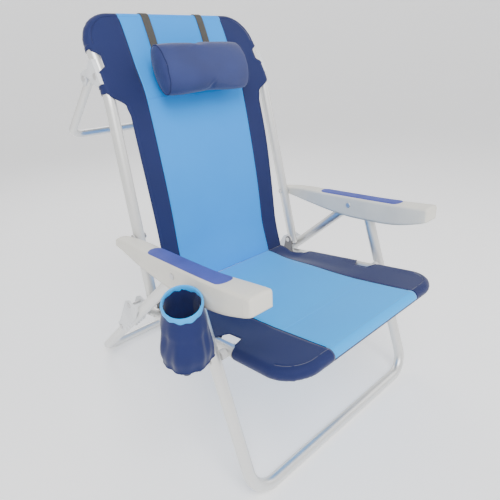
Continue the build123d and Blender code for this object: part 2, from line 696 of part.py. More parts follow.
def cup_pouch():
    """A straight-sided pouch with a flat floor, open at the top."""
    place = Pos(cup_centre(), CUP_Y, CUP_TOP_Z - CUP_DEPTH)
    outer = place * Cylinder(CUP_R + CUP_WALL, CUP_DEPTH - CUP_RIM, align=ON_BASE)
    return outer - place * Pos(0, 0, CUP_WALL) * Cylinder(CUP_R, CUP_DEPTH, align=ON_BASE)


def cup_rim():
    """The bound hem with its wire, round the mouth."""
    place = Pos(cup_centre(), CUP_Y, CUP_TOP_Z - CUP_RIM)
    outer = Cylinder(CUP_R + CUP_WALL, CUP_RIM, align=ON_BASE)
    return place * (outer - Cylinder(CUP_R, CUP_RIM, align=ON_BASE))


def cup_snaps():
    """Two snaps that hold the pouch to the armrest's outer skirt."""
    front, rear = [rod(CUP_Y + dy, CUP_TOP_Z - SNAP_DOWN, -ARM_OUT, cup_centre(), SNAP_R)
                   for dy in (-SNAP_APART, SNAP_APART)]
    return (front + rear) - Pos(cup_centre(), CUP_Y, CUP_TOP_Z) * Cylinder(CUP_R + CUP_WALL, CUP_DEPTH)


# ================================================================ front leg
def front_leg():
    up = unit(FRONT_ANGLE)
    top = step(FRONT_PIN, up, LEG_END)
    points = [(-FRONT_HALF, *top), (-FRONT_HALF, 0.0, TUBE_R), (FRONT_HALF, 0.0, TUBE_R), (FRONT_HALF, *top)]
    leg = tube(points, [LEG_BEND_R] * 2, TUBE_R, TUBE_WALL)
    reach = 2 * TUBE_R
    hole = rod(*FRONT_PIVOT, FRONT_HALF - reach, FRONT_HALF + reach, BOLT_R + RUN_GAP)
    hole += rod(*FRONT_PIN, FRONT_HALF - reach, FRONT_HALF, BOLT_R)
    return leg - both(hole)


def front_leg_plugs():
    up = unit(FRONT_ANGLE)
    plug = end_plug(step(FRONT_PIN, up, LEG_END), up, FRONT_HALF, TUBE_R, TUBE_WALL)
    return both(plug - rod(*FRONT_PIN, FRONT_HALF - 2 * TUBE_R, FRONT_HALF, BOLT_R))


def front_leg_pins():
    """Pins that stand in from the front leg's tops, into the armrest brackets' slots."""
    return both(rod(*FRONT_PIN, ARM_IN + ARM_WALL + SKIN_GAP, FRONT_HALF, BOLT_R))


# ================================================================ rear leg and its racks
def rear_leg():
    up = (-REAR_DIR[0], -REAR_DIR[1])
    top = step(REAR_PIN, up, LEG_END)
    half = rear_half(top[1])
    points = [(-half, *top), (-REAR_FLOOR_HALF, REAR_FLOOR_Y, TUBE_R),
              (REAR_FLOOR_HALF, REAR_FLOOR_Y, TUBE_R), (half, *top)]
    leg = tube(points, [LEG_BEND_R] * 2, TUBE_R, TUBE_WALL)
    reach = 2 * TUBE_R
    hole = rod(*REAR_PIN, REAR_TOP_HALF - reach, REAR_TOP_HALF + reach, BOLT_R + RUN_GAP)
    tail = rack_place(*RACK_TAIL_RIVET)
    hole += rod(*tail, rear_half(tail[1]) - reach, rear_half(tail[1]) + reach, RIVET_R)
    return leg - both(hole)


def rear_leg_plugs():
    up = (-REAR_DIR[0], -REAR_DIR[1])
    top = step(REAR_PIN, up, LEG_END)
    lean = (REAR_TOP_HALF - REAR_FLOOR_HALF) / REAR_LEG_SPAN
    plug = end_plug(top, up, rear_half(top[1]), TUBE_R, TUBE_WALL, lean)
    bore = rod(*REAR_PIN, REAR_TOP_HALF - 2 * TUBE_R, REAR_TOP_HALF + 2 * TUBE_R, BOLT_R + 1.0)
    return both(plug - bore)


def rack_place(along, above):
    """A (y, z) beside the rear leg, counted from the stud at rest."""
    t0, _ = stud_in_leg(0.0)
    return step(step(REAR_PIN, REAR_DIR, t0 + along), REAR_UP, above)


def rack():
    """A moulded saddle on the rear leg: two lobed cheeks, toothed below, over a web on the tube."""
    teeth = []
    for i in range(RACK_TEETH):
        root = RACK_TAIL_T - RACK_FIRST_TOOTH - RACK_PITCH * i
        flank = RACK_TOOTH * RACK_PITCH
        teeth += [(root, RACK_ROOT), (root - flank, RACK_TIP), (root - 2 * flank, RACK_TIP)]
    outline = [*RACK_CREST, *teeth, RACK_HEEL]
    body = side_plate([rack_place(*p) for p in outline], RACK_IN, RACK_OUT)
    inner = RACK_IN + RACK_CHEEK
    outer = RACK_OUT - RACK_CHEEK
    for low, high in ((RACK_WEB, CLEAR), (-CLEAR, 0.0)):
        gap = [(-CLEAR, low), (-CLEAR, high), (CLEAR, high), (CLEAR, low)]
        body -= side_plate([rack_place(*p) for p in gap], inner, outer)
    top = Vector(rear_half(REAR_TOP_Z), *REAR_PIN)
    foot = Vector(REAR_FLOOR_HALF, REAR_FLOOR_Y, TUBE_R)
    body -= Plane(origin=top, z_dir=foot - top) * Cylinder(TUBE_R, (foot - top).length, align=ON_BASE)
    for place in (rack_place(*RACK_TIE_RIVET), rack_place(*RACK_TAIL_RIVET)):
        body -= rod(*place, 0.0, 2 * RACK_OUT, RIVET_R)
    return body - stud_groove()


def stud_groove():
    """The shallow track that the stud's end follows, worked out from the linkage."""
    folds = [-RECLINE_MAX + (FOLD_MAX + RECLINE_MAX) * k / GROOVE_STEPS for k in range(GROOVE_STEPS + 1)]
    discs = []
    for fold in folds:
        along, above = stud_in_leg(fold)
        place = step(step(REAR_PIN, REAR_DIR, along), REAR_UP, above)
        discs.append(rod(*place, RACK_IN - GROOVE_DEPTH, RACK_IN + GROOVE_DEPTH, STUD_R + GROOVE_GAP))
    return sum(discs[1:], discs[0])


def rack_rivets():
    tie = bolt(*rack_place(*RACK_TIE_RIVET), RACK_OUT, RACK_IN, RIVET_R, tail_r=0.0)
    tail = bolt(*rack_place(*RACK_TAIL_RIVET), RACK_OUT, RACK_IN, RIVET_R, tail_r=0.0)
    return both(tie + tail)


# ================================================================ write the pieces
PIECES = {
    "seat_frame": seat_frame,
    "seat_cross_bar": seat_cross_bar,
    "strap_rivets": strap_rivets,
    "hinge_bolts": hinge_bolts,
    "seat_tube_plugs": seat_plugs,
    "lock_studs": lock_studs,
    "front_pivot_spacers": front_spacers,
    "front_pivot_bolts": front_pivot_bolts,
    "seat_fabric": seat_fabric,
    "back_frame": back_frame,
    "back_tube_plugs": back_plugs,
    "arm_pivot_bolts": arm_pivot_bolts,
    "arm_pivot_spacers": arm_pivot_spacers,
    "back_fabric": back_fabric,
    "pillow_elastics": elastic_straps,
    "bracket_rivets": bracket_rivets,
    "towel_bar": towel_bar,
    "towel_bar_plugs": towel_plugs,
    "pillow": pillow,
    "rear_leg_bolts": rear_pin_bolts,
    "arm_bracket_rivets": arm_bracket_rivets,
    "cup_pouch": cup_pouch,
    "cup_rim": cup_rim,
    "cup_snaps": cup_snaps,
    "front_leg": front_leg,
    "front_leg_plugs": front_leg_plugs,
    "front_leg_pins": front_leg_pins,
    "rear_leg": rear_leg,
    "rear_leg_plugs": rear_leg_plugs,
    "rack_rivets": rack_rivets,
}
HANDED = {
    "hinge_strap": hinge_strap,
    "hinge_washer": hinge_washer,
    "towel_bracket": towel_bracket,
    "armrest_shell": armrest_shell,
    "armrest_inlay": armrest_inlay,
    "arm_bracket": arm_bracket,
    "rack": rack,
}

for name, build in PIECES.items():
    save(name, build())
for name, build in HANDED.items():
    shape = build()
    save(f"{name}_right", shape)
    save(f"{name}_left", mirror(shape, about=Plane.YZ))
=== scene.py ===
import json
import logging
import math
from dataclasses import dataclass, field
from enum import Enum
from typing import Callable, Dict, List, Optional, Sequence, Tuple

import bmesh
import bpy
import numpy as np
from mathutils import Matrix, Vector
from mathutils.bvhtree import BVHTree


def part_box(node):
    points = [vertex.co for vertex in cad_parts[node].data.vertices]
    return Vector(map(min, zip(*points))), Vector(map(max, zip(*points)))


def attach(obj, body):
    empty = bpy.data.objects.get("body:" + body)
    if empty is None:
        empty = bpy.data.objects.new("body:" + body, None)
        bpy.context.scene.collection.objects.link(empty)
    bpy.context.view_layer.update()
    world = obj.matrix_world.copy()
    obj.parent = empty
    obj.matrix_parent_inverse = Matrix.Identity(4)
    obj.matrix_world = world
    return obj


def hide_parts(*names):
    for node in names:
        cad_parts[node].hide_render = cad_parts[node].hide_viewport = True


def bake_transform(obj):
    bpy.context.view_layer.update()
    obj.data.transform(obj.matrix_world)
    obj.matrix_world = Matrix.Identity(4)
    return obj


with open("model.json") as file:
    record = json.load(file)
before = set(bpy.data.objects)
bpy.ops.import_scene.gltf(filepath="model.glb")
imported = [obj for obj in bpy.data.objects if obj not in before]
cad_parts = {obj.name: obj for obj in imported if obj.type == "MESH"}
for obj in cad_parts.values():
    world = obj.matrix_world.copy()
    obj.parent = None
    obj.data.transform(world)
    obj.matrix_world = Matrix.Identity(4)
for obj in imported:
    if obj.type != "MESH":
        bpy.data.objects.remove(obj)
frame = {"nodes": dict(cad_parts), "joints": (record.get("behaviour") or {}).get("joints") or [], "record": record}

# A folding low beach chair. Metres, +Z up, the sitter faces -Y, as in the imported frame.
# Side views are (y, z), lengths along a tube are "s", and "ahead" is towards the sitter.

LOG = logging.getLogger("beach_chair")
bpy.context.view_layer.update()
SLEEVE_R = 0.0139       # the frame tube's radius with the cloth round it
SLEEVE_TAIL = 0.024     # cloth from the tube in to the stitches behind
FULL_SLEEVE = math.pi * SLEEVE_R + SLEEVE_TAIL
CREASE_S = -0.0083      # where the two slings meet, along the back tube from its pivot
Colour = Tuple[float, float, float]


class Side(Enum):
    """The two sides of the chair, as the sign of x."""

    LEFT = -1.0
    RIGHT = 1.0

    @property
    def word(self) -> str:
        """The side's name as it ends the names of nodes."""
        return self.name.lower()


def joint_pivot(name: str) -> Tuple[float, float]:
    """The (y, z) place of a joint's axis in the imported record.

    Args:
        name: The joint's name.

    Returns:
        Its y and z in metres.
    """
    found = [j for j in frame["joints"] if j["name"] == name][0]
    return found["pos_m"][1], found["pos_m"][2]


def smooth(value: np.ndarray) -> np.ndarray:
    """3 t^2 - 2 t^3, held to 0 and 1 outside."""
    t = np.clip(value, 0.0, 1.0)
    return t * t * (3.0 - 2.0 * t)


def eased(at: np.ndarray, knots: Sequence[Tuple[float, float]]) -> np.ndarray:
    """A curve through knots that is level at each one.

    Args:
        at: Where to read it.
        knots: Pairs of place and value, in order.

    Returns:
        value_k + (value_k+1 - value_k) * smooth(share of the way from knot k to k+1).
    """
    places = np.array([k[0] for k in knots])
    values = np.array([k[1] for k in knots])
    i = np.clip(np.searchsorted(places, at, side="right") - 1, 0, len(places) - 2)
    share = (at - places[i]) / (places[i + 1] - places[i])
    return values[i] + (values[i + 1] - values[i]) * smooth(share)


def rounded_curve(at: np.ndarray, knots: Sequence[Tuple[float, float]]) -> np.ndarray:
    """A curve through knots with a smooth slope, by cubic Hermite pieces.

    Args:
        at: Where to read it.
        knots: Pairs of place and value, in order.

    Returns:
        The Hermite blend of the values with each knot's slope taken from its two neighbours.
    """
    x = np.array([k[0] for k in knots])
    v = np.array([k[1] for k in knots])
    slope = np.gradient(v, x)
    i = np.clip(np.searchsorted(x, at, side="right") - 1, 0, len(x) - 2)
    h = x[i + 1] - x[i]
    t = (at - x[i]) / h
    t2, t3 = t * t, t * t * t
    return ((2 * t3 - 3 * t2 + 1) * v[i] + (t3 - 2 * t2 + t) * h * slope[i]
            + (3 * t2 - 2 * t3) * v[i + 1] + (t3 - t2) * h * slope[i + 1])


# ------------------------------------------------------------------ meshes
@dataclass
class Patch:
    """A grid of points with its two maps, one row after another."""

    points: np.ndarray
    cloth: Optional[np.ndarray] = None
    hem: Optional[np.ndarray] = None

    def mirrored(self) -> "Patch":
        """The same patch on the other side of the chair."""
        return Patch(self.points * np.array([-1.0, 1.0, 1.0]), self.cloth, self.hem)


def quads(rows: int, cols: int, first: int) -> np.ndarray:
    """The four corners of each cell of a grid, as columns turned towards rows."""
    at = first + np.arange(rows * cols).reshape(rows, cols)
    return np.stack([at[:-1, :-1], at[:-1, 1:], at[1:, 1:], at[1:, :-1]], axis=-1).reshape(-1, 4)


def piece(name: str, patches: Sequence[Patch], facing: Optional[Sequence[float]] = None,
          sharp: float = 0.0) -> bpy.types.Object:
    """Joins patches into one mesh object at the origin.

    Args:
        name: The object's name.
        patches: Grids whose touching edges are merged.
        facing: The way that an open sheet's faces look on the whole. Closed shapes leave it out.
        sharp: Edges that turn more than this angle in degrees stay sharp, or none at 0.

    Returns:
        The linked object.
    """
    points, faces, cloth, hem, first = [], [], [], [], 0
    for patch in patches:
        rows, cols = patch.points.shape[:2]
        faces.append(quads(rows, cols, first))
        points.append(patch.points.reshape(-1, 3))
        flat = np.zeros((rows * cols, 2))
        cloth.append(flat if patch.cloth is None else patch.cloth.reshape(-1, 2))
        hem.append(flat if patch.hem is None else patch.hem.reshape(-1, 2))
        first += rows * cols
    at, corner = np.concatenate(points), np.concatenate(faces)
    if facing is not None:
        a, b, d = at[corner[:, 0]], at[corner[:, 1]], at[corner[:, 3]]
        if float((np.cross(b - a, d - a) @ np.array(facing)).sum()) < 0.0:
            corner = corner[:, ::-1]
    mesh = bpy.data.meshes.new(name)
    mesh.from_pydata(at.tolist(), [], corner.tolist())
    order = corner.reshape(-1)
    for label, values in (("Cloth", np.concatenate(cloth)), ("Hem", np.concatenate(hem))):
        layer = mesh.uv_layers.new(name=label)
        layer.data.foreach_set("uv", values[order].astype(np.float32).ravel())
    work = bmesh.new()
    work.from_mesh(mesh)
    bmesh.ops.remove_doubles(work, verts=work.verts, dist=2e-5)
    bmesh.ops.dissolve_degenerate(work, edges=work.edges, dist=1e-6)
    if facing is None:
        bmesh.ops.recalc_face_normals(work, faces=work.faces)
    work.to_mesh(mesh)
    work.free()
    mesh.polygons.foreach_set("use_smooth", np.ones(len(mesh.polygons), bool))
    if sharp:
        mesh.set_sharp_from_angle(angle=math.radians(sharp))
    made = bpy.data.objects.new(name, mesh)
    bpy.context.scene.collection.objects.link(made)
    return made


def thicken(made: bpy.types.Object, thickness: float) -> None:
    """Gives a sheet its thickness behind its faces."""
    wall = made.modifiers.new("Thickness", "SOLIDIFY")
    wall.thickness = thickness
    wall.offset = -1.0
    wall.use_even_offset = False
    wall.use_rim = True


def swept(path: np.ndarray, up: np.ndarray, half_width: float, half_height: float,
          sides: int = 10) -> Patch:
    """An elliptical bar along a path, with closed ends.

    Args:
        path: Points along it.
        up: The direction of its height at each point.
        half_width: Its half size across.
        half_height: Its half size along up.
        sides: Points round it.

    Returns:
        centre + half_width * cos(a) * side + half_height * sin(a) * up, for each path point.
    """
    along = np.gradient(path, axis=0)
    along /= np.linalg.norm(along, axis=1, keepdims=True)
    side = np.cross(along, up)
    side /= np.linalg.norm(side, axis=1, keepdims=True)
    top = np.cross(side, along)
    a = np.linspace(0.0, 2.0 * math.pi, sides + 1)
    ring = (path[:, None, :] + half_width * np.cos(a)[None, :, None] * side[:, None, :]
            + half_height * np.sin(a)[None, :, None] * top[:, None, :])
    caps = [np.repeat(p[None, None, :], sides + 1, axis=1) for p in (path[0], path[-1])]
    points = np.concatenate([caps[0], ring, caps[1]])
    run = np.concatenate([[0.0], np.cumsum(np.linalg.norm(np.diff(path, axis=0), axis=1))])
    run = np.concatenate([[0.0], run, [run[-1]]])
    cloth = np.stack(np.broadcast_arrays(a[None, :] * half_width, run[:, None]), axis=-1)
    return Patch(points, cloth)


# ------------------------------------------------------------------ shader nodes
class Nodes:
    """Adds nodes to one shader tree and joins them."""

    def __init__(self, tree: bpy.types.NodeTree) -> None:
        """Args: tree: The tree to add to."""
        self.tree = tree

    def add(self, kind: str, inputs: Optional[Dict] = None, **settings) -> bpy.types.Node:
        """Adds a node.

        Args:
            kind: The node's Blender type.
            inputs: Values or output sockets for its inputs, by name or number.
            settings: The node's own properties.

        Returns:
            The node.
        """
        node = self.tree.nodes.new(kind)
        for key, value in settings.items():
            setattr(node, key, value)
        for key, value in (inputs or {}).items():
            if isinstance(value, bpy.types.NodeSocket):
                self.tree.links.new(value, node.inputs[key])
            else:
                node.inputs[key].default_value = value
        return node

    def math(self, operation: str, a, b=0.0) -> bpy.types.NodeSocket:
        """One sum on two values or sockets."""
        return self.add("ShaderNodeMath", {0: a, 1: b}, operation=operation).outputs[0]

    def scaled(self, value, by: float, plus: float) -> bpy.types.NodeSocket:
        """value * by + plus."""
        return self.add("ShaderNodeMath", {0: value, 1: by, 2: plus}, operation="MULTIPLY_ADD").outputs[0]

    def effect(self, tree: bpy.types.NodeTree, **values) -> bpy.types.Node:
        """Places a shared node group and sets its inputs by name."""
        return self.add("ShaderNodeGroup", values, node_tree=tree)

    def set_shader(self, shader: bpy.types.Node, colour, normal, rough=None) -> None:
        """Joins a finish's colour, normal and roughness to its shader."""
        self.tree.links.new(colour, shader.inputs["Base Color"])
        if rough is not None:
            self.tree.links.new(rough, shader.inputs["Roughness"])
        self.tree.links.new(normal, shader.inputs["Normal"])

    def mix(self, share, a, b) -> bpy.types.NodeSocket:
        """A colour part of the way from a to b."""
        node = self.add("ShaderNodeMix", data_type="RGBA")
        for socket, value in ((node.inputs[0], share), (node.inputs[6], a), (node.inputs[7], b)):
            if isinstance(value, bpy.types.NodeSocket):
                self.tree.links.new(value, socket)
            else:
                socket.default_value = value
        return node.outputs[2]


def group(name: str, inputs: Sequence[Tuple[str, str, float]],
          outputs: Sequence[str]) -> Tuple[bpy.types.NodeTree, Nodes, bpy.types.Node, bpy.types.Node]:
    """A new shader node group.

    Args:
        name: Its name.
        inputs: Each input's name, kind and first value.
        outputs: The names of its outputs, all of them values.

    Returns:
        The group, a helper for its tree, and its input and output nodes.
    """
    tree = bpy.data.node_groups.new(name, "ShaderNodeTree")
    for label, kind, value in inputs:
        socket = tree.interface.new_socket(label, in_out="INPUT", socket_type=kind)
        if kind == "NodeSocketFloat":
            socket.default_value = value
    for label in outputs:
        tree.interface.new_socket(label, in_out="OUTPUT", socket_type="NodeSocketFloat")
    nodes = Nodes(tree)
    return tree, nodes, nodes.add("NodeGroupInput"), nodes.add("NodeGroupOutput")


class Effects:
    """Node groups that several finishes share, each built once."""

    def __init__(self) -> None:
        """Builds the groups."""
        self.weave = self._weave()
        self.stitch = self._stitch()
        self.mottle = self._mottle()

    @staticmethod
    def _weave() -> bpy.types.NodeTree:
        """Plain weave: two crossed sets of threads that pass over each other in turn."""
        tree, n, given, out = group("Plain weave", [("Vector", "NodeSocketVector", 0.0),
                                                    ("Pitch", "NodeSocketFloat", 0.0008)],
                                    ["Height", "Thread"])
        split = n.add("ShaderNodeSeparateXYZ", {0: given.outputs["Vector"]})
        turns = n.math("DIVIDE", math.pi, given.outputs["Pitch"])
        warp = n.math("SINE", n.math("MULTIPLY", split.outputs[0], turns))
        weft = n.math("SINE", n.math("MULTIPLY", split.outputs[1], turns))
        over = n.math("MULTIPLY", warp, weft)
        ridge = n.math("ABSOLUTE", over)
        lift = n.math("MULTIPLY_ADD", over, 0.35)
        n.tree.links.new(n.math("POWER", ridge, 0.5), out.inputs["Height"])
        n.tree.links.new(lift, out.inputs["Thread"])
        return tree

    @staticmethod
    def _stitch() -> bpy.types.NodeTree:
        """One row of stitches at a distance from the map's zero line."""
        tree, n, given, out = group("Stitch row", [("Vector", "NodeSocketVector", 0.0),
                                                   ("Distance", "NodeSocketFloat", 0.006),
                                                   ("Length", "NodeSocketFloat", 0.0034)],
                                    ["Mask", "Dent"])
        split = n.add("ShaderNodeSeparateXYZ", {0: given.outputs["Vector"]})
        off = n.math("ABSOLUTE", n.math("SUBTRACT", n.math("ABSOLUTE", split.outputs[0]),
                                        given.outputs["Distance"]))
        line = n.add("ShaderNodeMapRange", {0: off, 1: 0.0003, 2: 0.0006, 3: 1.0, 4: 0.0}).outputs[0]
        dent = n.add("ShaderNodeMapRange", {0: off, 1: 0.0, 2: 0.0022, 3: 1.0, 4: 0.0}).outputs[0]
        step = n.math("FRACT", n.math("DIVIDE", split.outputs[1], given.outputs["Length"]))
        n.tree.links.new(n.math("MULTIPLY", line, n.math("LESS_THAN", step, 0.72)), out.inputs["Mask"])
        n.tree.links.new(dent, out.inputs["Dent"])
        return tree

    @staticmethod
    def _mottle() -> bpy.types.NodeTree:
        """Broad and fine unevenness, from two sizes of noise."""
        tree, n, given, out = group("Mottle", [("Vector", "NodeSocketVector", 0.0),
                                               ("Broad", "NodeSocketFloat", 9.0),
                                               ("Fine", "NodeSocketFloat", 900.0)],
                                    ["Broad", "Fine"])
        for label, detail in (("Broad", 3.0), ("Fine", 2.0)):
            noise = n.add("ShaderNodeTexNoise", {"Vector": given.outputs["Vector"],
                                                 "Scale": given.outputs[label], "Detail": detail})
            n.tree.links.new(noise.outputs[0], out.inputs[label])
        return tree


EFFECTS = Effects()


def linear(colour: Colour) -> Tuple[float, float, float, float]:
    """A display colour from 0 to 1 as the linear colour that shaders take."""
    low = [c / 12.92 if c <= 0.04045 else ((c + 0.055) / 1.055) ** 2.4 for c in colour]
    return low[0], low[1], low[2], 1.0


def new_material(name: str) -> Tuple[bpy.types.Material, Nodes, bpy.types.Node]:
    """A material with its Principled shader joined to the output."""
    material = bpy.data.materials.new(name)
    material.use_nodes = True
    material.node_tree.nodes.clear()
    nodes = Nodes(material.node_tree)
    shader = nodes.add("ShaderNodeBsdfPrincipled")
    out = nodes.add("ShaderNodeOutputMaterial")
    material.node_tree.links.new(shader.outputs[0], out.inputs[0])
    return material, nodes, shader


@dataclass(frozen=True)
class Fabric:
    """Woven polyester: thread, seams' stitches, sheen, a little fading and painted shade in the weave's hollows.
    """

    name: str
    colour: Colour
    # deep is the darker tone, used both for random fading and for painted shade in the weave's hollows.
    deep: Colour
    pitch: float = 0.0008
    stitches: bool = True
    thread: Colour = (0.2, 0.3, 0.55)
    relief: float = 0.00012
    sheen: float = 0.25
    roughness: float = 0.72

    def build(self) -> bpy.types.Material:
        """Makes the material."""
        material, n, shader = new_material(self.name)
        cloth = n.add("ShaderNodeUVMap", uv_map="Cloth").outputs[0]
        place = n.add("ShaderNodeTexCoord").outputs["Object"]
        weave = n.effect(EFFECTS.weave, Vector=cloth, Pitch=self.pitch)
        mottle = n.effect(EFFECTS.mottle, Vector=place, Broad=7.0, Fine=420.0)
        share = n.scaled(mottle.outputs["Broad"], 0.55, -0.05)
        # The hollows between the threads go towards the deep colour: painted shade.
        share = n.math("ADD", share, n.math("MULTIPLY", weave.outputs["Height"], -0.22))
        colour = n.mix(n.math("ADD", share, 0.1), linear(self.colour), linear(self.deep))
        height = n.math("ADD", n.math("MULTIPLY", weave.outputs["Height"], 0.5),
                        n.math("MULTIPLY", mottle.outputs["Fine"], 0.35))
        if self.stitches:
            for label, distance in (("Cloth", 0.0045), ("Hem", 0.0075)):
                own_map = n.add("ShaderNodeUVMap", uv_map=label).outputs[0]
                row = n.effect(EFFECTS.stitch, Vector=own_map, Distance=distance, Length=0.0034)
                colour = n.mix(row.outputs["Mask"], colour, linear(self.thread))
                height = n.math("SUBTRACT", height, n.math("MULTIPLY", row.outputs["Dent"], 1.2))
                height = n.math("ADD", height, n.math("MULTIPLY", row.outputs["Mask"], 1.0))
        bump = n.add("ShaderNodeBump", {"Height": height, "Strength": 0.55, "Distance": self.relief})
        rough = n.scaled(mottle.outputs["Fine"], 0.16, self.roughness - 0.08)
        n.set_shader(shader, colour, bump.outputs[0], rough)
        shader.inputs["Sheen Weight"].default_value = self.sheen
        shader.inputs["Sheen Roughness"].default_value = 0.4
        shader.inputs["Specular IOR Level"].default_value = 0.3
        return material


@dataclass(frozen=True)
class Metal:
    """Satin metal with faint smudges, pits and drawn streaks."""

    name: str
    colour: Colour
    dull: Colour
    roughness: float = 0.34
    streak: float = 60.0
    metallic: float = 1.0

    def build(self) -> bpy.types.Material:
        """Makes the material."""
        material, n, shader = new_material(self.name)
        place = n.add("ShaderNodeTexCoord").outputs["Object"]
        mottle = n.effect(EFFECTS.mottle, Vector=place, Broad=14.0, Fine=1100.0)
        scale = (self.streak * 10.0, self.streak, self.streak)
        grain = n.add("ShaderNodeMapping", {"Vector": place, "Scale": scale}).outputs[0]
        lines = n.add("ShaderNodeTexNoise", {"Vector": grain, "Scale": 1.0, "Detail": 4.0}).outputs[0]
        share = n.math("MULTIPLY", mottle.outputs["Broad"], 0.6)
        colour = n.mix(share, linear(self.colour), linear(self.dull))
        rough = n.scaled(mottle.outputs["Broad"], 0.14, self.roughness - 0.1)
        rough = n.math("ADD", rough, n.math("MULTIPLY", lines, 0.08))
        pits = n.math("MULTIPLY", mottle.outputs["Fine"], 0.3)
        height = n.math("ADD", n.math("MULTIPLY", lines, 0.5), pits)
        bump = n.add("ShaderNodeBump", {"Height": height, "Strength": 0.25, "Distance": 0.0001})
        n.set_shader(shader, colour, bump.outputs[0], rough)
        shader.inputs["Metallic"].default_value = self.metallic
        return material


@dataclass(frozen=True)
class Plastic:
    """Moulded plastic: fine spark-eroded grain, faint scuffs and a soft gloss."""

    name: str
    colour: Colour
    scuff: Colour
    roughness: float = 0.45
    grain: float = 700.0
    relief: float = 0.00008

    def build(self) -> bpy.types.Material:
        """Makes the material."""
        material, n, shader = new_material(self.name)
        place = n.add("ShaderNodeTexCoord").outputs["Object"]
        mottle = n.effect(EFFECTS.mottle, Vector=place, Broad=18.0, Fine=self.grain)
        ends = {0: mottle.outputs["Broad"], 1: 0.42, 2: 0.72, 3: 0.0, 4: 0.55}
        patch = n.add("ShaderNodeMapRange", ends).outputs[0]
        colour = n.mix(patch, linear(self.colour), linear(self.scuff))
        rough = n.scaled(mottle.outputs["Fine"], 0.12, self.roughness - 0.06)
        grain = {"Height": mottle.outputs["Fine"], "Strength": 0.5, "Distance": self.relief}
        n.set_shader(shader, colour, n.add("ShaderNodeBump", grain).outputs[0], rough)
        shader.inputs["Specular IOR Level"].default_value = 0.5
        return material


class Finishes:
    """Every finish of the chair, made once, by the record's slot."""

    def __init__(self) -> None:
        """Builds the materials."""
        navy, navy_deep = (0.085, 0.135, 0.34), (0.05, 0.085, 0.24)
        made = {
            "aluminium_tube": Metal("Satin aluminium", (0.78, 0.77, 0.75), (0.66, 0.65, 0.63), 0.36),
            "zinc_fasteners": Metal("Zinc plate", (0.80, 0.80, 0.80), (0.6, 0.6, 0.62), 0.28, 90.0),
            "dark_steel": Metal("Dark steel", (0.30, 0.30, 0.32), (0.18, 0.18, 0.19), 0.42, 40.0),
            "black_plastic": Plastic("Black plastic", (0.07, 0.07, 0.075), (0.14, 0.14, 0.145), 0.5),
            "grey_plastic": Plastic("Grey plastic", (0.55, 0.56, 0.57), (0.46, 0.47, 0.48), 0.5),
            "white_plastic": Plastic("White plastic", (0.88, 0.89, 0.90), (0.76, 0.77, 0.79), 0.42),
            "armrest_plastic": Plastic("Armrest plastic", (0.86, 0.85, 0.81), (0.80, 0.79, 0.76), 0.4, 520.0),
            "inlay_blue": Plastic("Blue inlay", (0.25, 0.30, 0.64), (0.19, 0.22, 0.52), 0.62, 1300.0, 0.0002),
            "cyan_fabric": Fabric("Cyan polyester", (0.0, 0.66, 0.97), (0.0, 0.58, 0.92),
                                  thread=(0.08, 0.6, 0.85)),
            # A darker copy of the seat's cyan cloth and thread for the back: painted shade, as the back gets less
            # light than the seat.
            "back_fabric": Fabric("Cyan polyester, painted shade", (0.0, 0.58, 0.93), (0.0, 0.50, 0.86),
                                  thread=(0.06, 0.55, 0.8)),
            "navy_fabric": Fabric("Navy polyester", navy, navy_deep, thread=(0.13, 0.18, 0.38)),
            "elastic": Fabric("Grey elastic", (0.30, 0.29, 0.27), (0.22, 0.21, 0.2), 0.0014,
                              stitches=False, relief=0.0004, sheen=0.1),
        }
        self.by_slot = {slot: finish.build() for slot, finish in made.items()}

    def dress(self, made: bpy.types.Object, slot: str) -> None:
        """Gives a piece one finish."""
        made.data.materials.clear()
        made.data.materials.append(self.by_slot[slot])

    def dress_nodes(self) -> None:
        """Gives every shown CAD node the finish of its slot in the record."""
        slots = {}
        for entry in frame["record"].get("materials", []):
            for node in entry.get("nodes", []):
                slots[node] = entry["slot"]
        for name, node in frame["nodes"].items():
            if name in slots:
                for place in node.material_slots:
                    place.material = self.by_slot[slots[name]]


